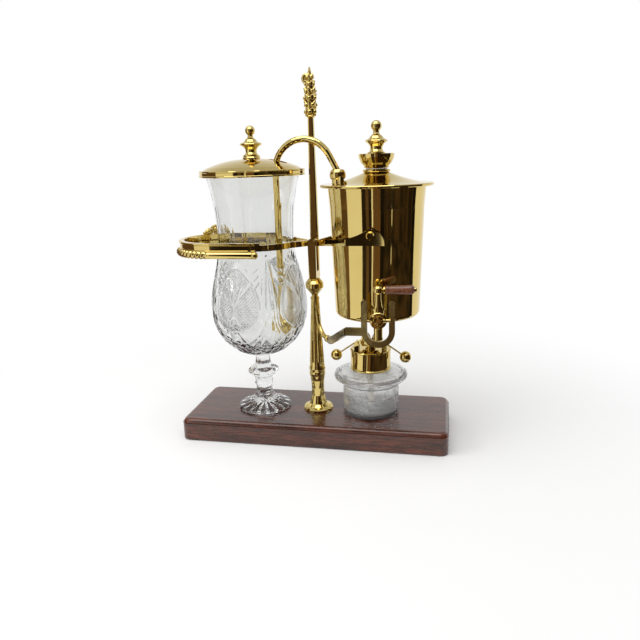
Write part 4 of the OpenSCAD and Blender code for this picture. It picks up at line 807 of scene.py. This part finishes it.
def wood_group():
    """Grain: long stretched noise gives streaks and a finer one gives pores; both mix two wood colours."""
    group, start, end = new_group("wood_grain", {
        "Dark": "Color", "Light": "Color", "Stretch": "Vector", "Low Gloss": "Float",
        "High Gloss": "Float"}, surface_outputs)
    where = add_node(group, "ShaderNodeTexCoord")
    stretched = add_node(group, "ShaderNodeVectorMath", {
        0: where.outputs["Object"], 1: start.outputs["Stretch"]}, operation="MULTIPLY")
    streak = add_node(group, "ShaderNodeTexNoise", {
        "Vector": stretched.outputs[0], "Scale": 1.0, "Detail": 8.0, "Distortion": 0.6})
    fine = add_node(group, "ShaderNodeTexNoise", {
        "Vector": stretched.outputs[0], "Scale": 7.0, "Detail": 3.0})
    both = add_node(group, "ShaderNodeMath", {0: streak.outputs["Fac"], 1: fine.outputs["Fac"]},
                    operation="MULTIPLY")
    spread = add_node(group, "ShaderNodeMapRange", {
        "Value": both.outputs[0], "From Min": 0.16, "From Max": 0.36})
    tint = add_node(group, "ShaderNodeMix", {
        "Factor": spread.outputs["Result"], "A": start.outputs["Dark"], "B": start.outputs["Light"]},
        data_type="RGBA")
    gloss = add_node(group, "ShaderNodeMapRange", {
        "Value": fine.outputs["Fac"], "To Min": start.outputs["Low Gloss"],
        "To Max": start.outputs["High Gloss"]})
    bump = add_node(group, "ShaderNodeBump", {
        "Strength": 0.12, "Distance": 0.0004, "Height": fine.outputs["Fac"]})
    feed(group, end, {"Colour": tint.outputs["Result"], "Roughness": gloss.outputs["Result"],
                      "Normal": bump.outputs["Normal"]})
    return group


wood_grain = wood_group()


def varnished(name, dark, light, stretch, coat):
    """A varnished wood built on the grain group."""
    return surfaced(name, wood_grain, {
        "Dark": (*dark, 1), "Light": (*light, 1), "Stretch": stretch, "Low Gloss": 0.2,
        "High Gloss": 0.35}, {"Coat Weight": coat, "Coat Roughness": 0.04})


dark_wood = varnished("dark_wood", (0.034, 0.009, 0.004), (0.13, 0.032, 0.014), (9, 90, 90), 0.45)
rosewood = varnished("rosewood", (0.070, 0.020, 0.008), (0.20, 0.070, 0.028), (60, 260, 260), 0.35)
dress("base_board", dark_wood)
dress("tap_handle", rosewood)

# ---------- felt, cotton and silicone ----------
# Felt is glued under the base, cotton makes the filter's cloth and the wick, and pale
# silicone makes the stopper and the gaskets.


def soft_material(name, dark, light, scale, rough, relief):
    """A matt material: one noise mixes two shades and lifts the surface."""
    material, tree, shader = new_material(name)
    where = add_node(tree, "ShaderNodeTexCoord")
    grain = add_node(tree, "ShaderNodeTexNoise", {
        "Vector": where.outputs["Object"], "Scale": scale, "Detail": 4.0})
    tint = add_node(tree, "ShaderNodeMix", {
        "Factor": grain.outputs["Fac"], "A": (*dark, 1), "B": (*light, 1)}, data_type="RGBA")
    bump = add_node(tree, "ShaderNodeBump", {
        "Strength": relief, "Distance": 0.0005, "Height": grain.outputs["Fac"]})
    feed(tree, shader, {
        "Base Color": tint.outputs["Result"], "Roughness": rough, "Normal": bump.outputs["Normal"]})
    return material


dress("base_felt", soft_material("felt", (0.016, 0.013, 0.011), (0.05, 0.042, 0.035), 900, 0.95, 0.8))
cotton = soft_material("cotton", (0.70, 0.65, 0.54), (0.90, 0.87, 0.78), 1500, 0.9, 0.9)
for node in ("filter_cloth", "wick"):
    dress(node, cotton)
silicone = soft_material("silicone", (0.66, 0.62, 0.54), (0.80, 0.77, 0.70), 300, 0.45, 0.2)
for node in ("filler_gasket", "port_stopper", "tap_washer", "burner_gasket"):
    dress(node, silicone)

# ---------- burner bottle ----------
# A small bottle of pressed glass with a waisted body and a wide shoulder, which holds the spirit.
# The mould leaves its surface slightly clouded.
pressed, tree, shader = new_material("frosted_glass")
where = add_node(tree, "ShaderNodeTexCoord")
cloud = add_node(tree, "ShaderNodeTexNoise", {
    "Vector": where.outputs["Object"], "Scale": 70.0, "Detail": 4.0})
matt = add_node(tree, "ShaderNodeMapRange", {
    "Value": cloud.outputs["Fac"], "From Min": 0.35, "From Max": 0.65, "To Min": 0.08, "To Max": 0.3})
feed(tree, shader, {"Transmission Weight": 0.88, "IOR": 1.48, "Base Color": (0.95, 0.955, 0.95, 1),
                    "Roughness": matt.outputs["Result"]})
dress("burner_bottle", pressed)
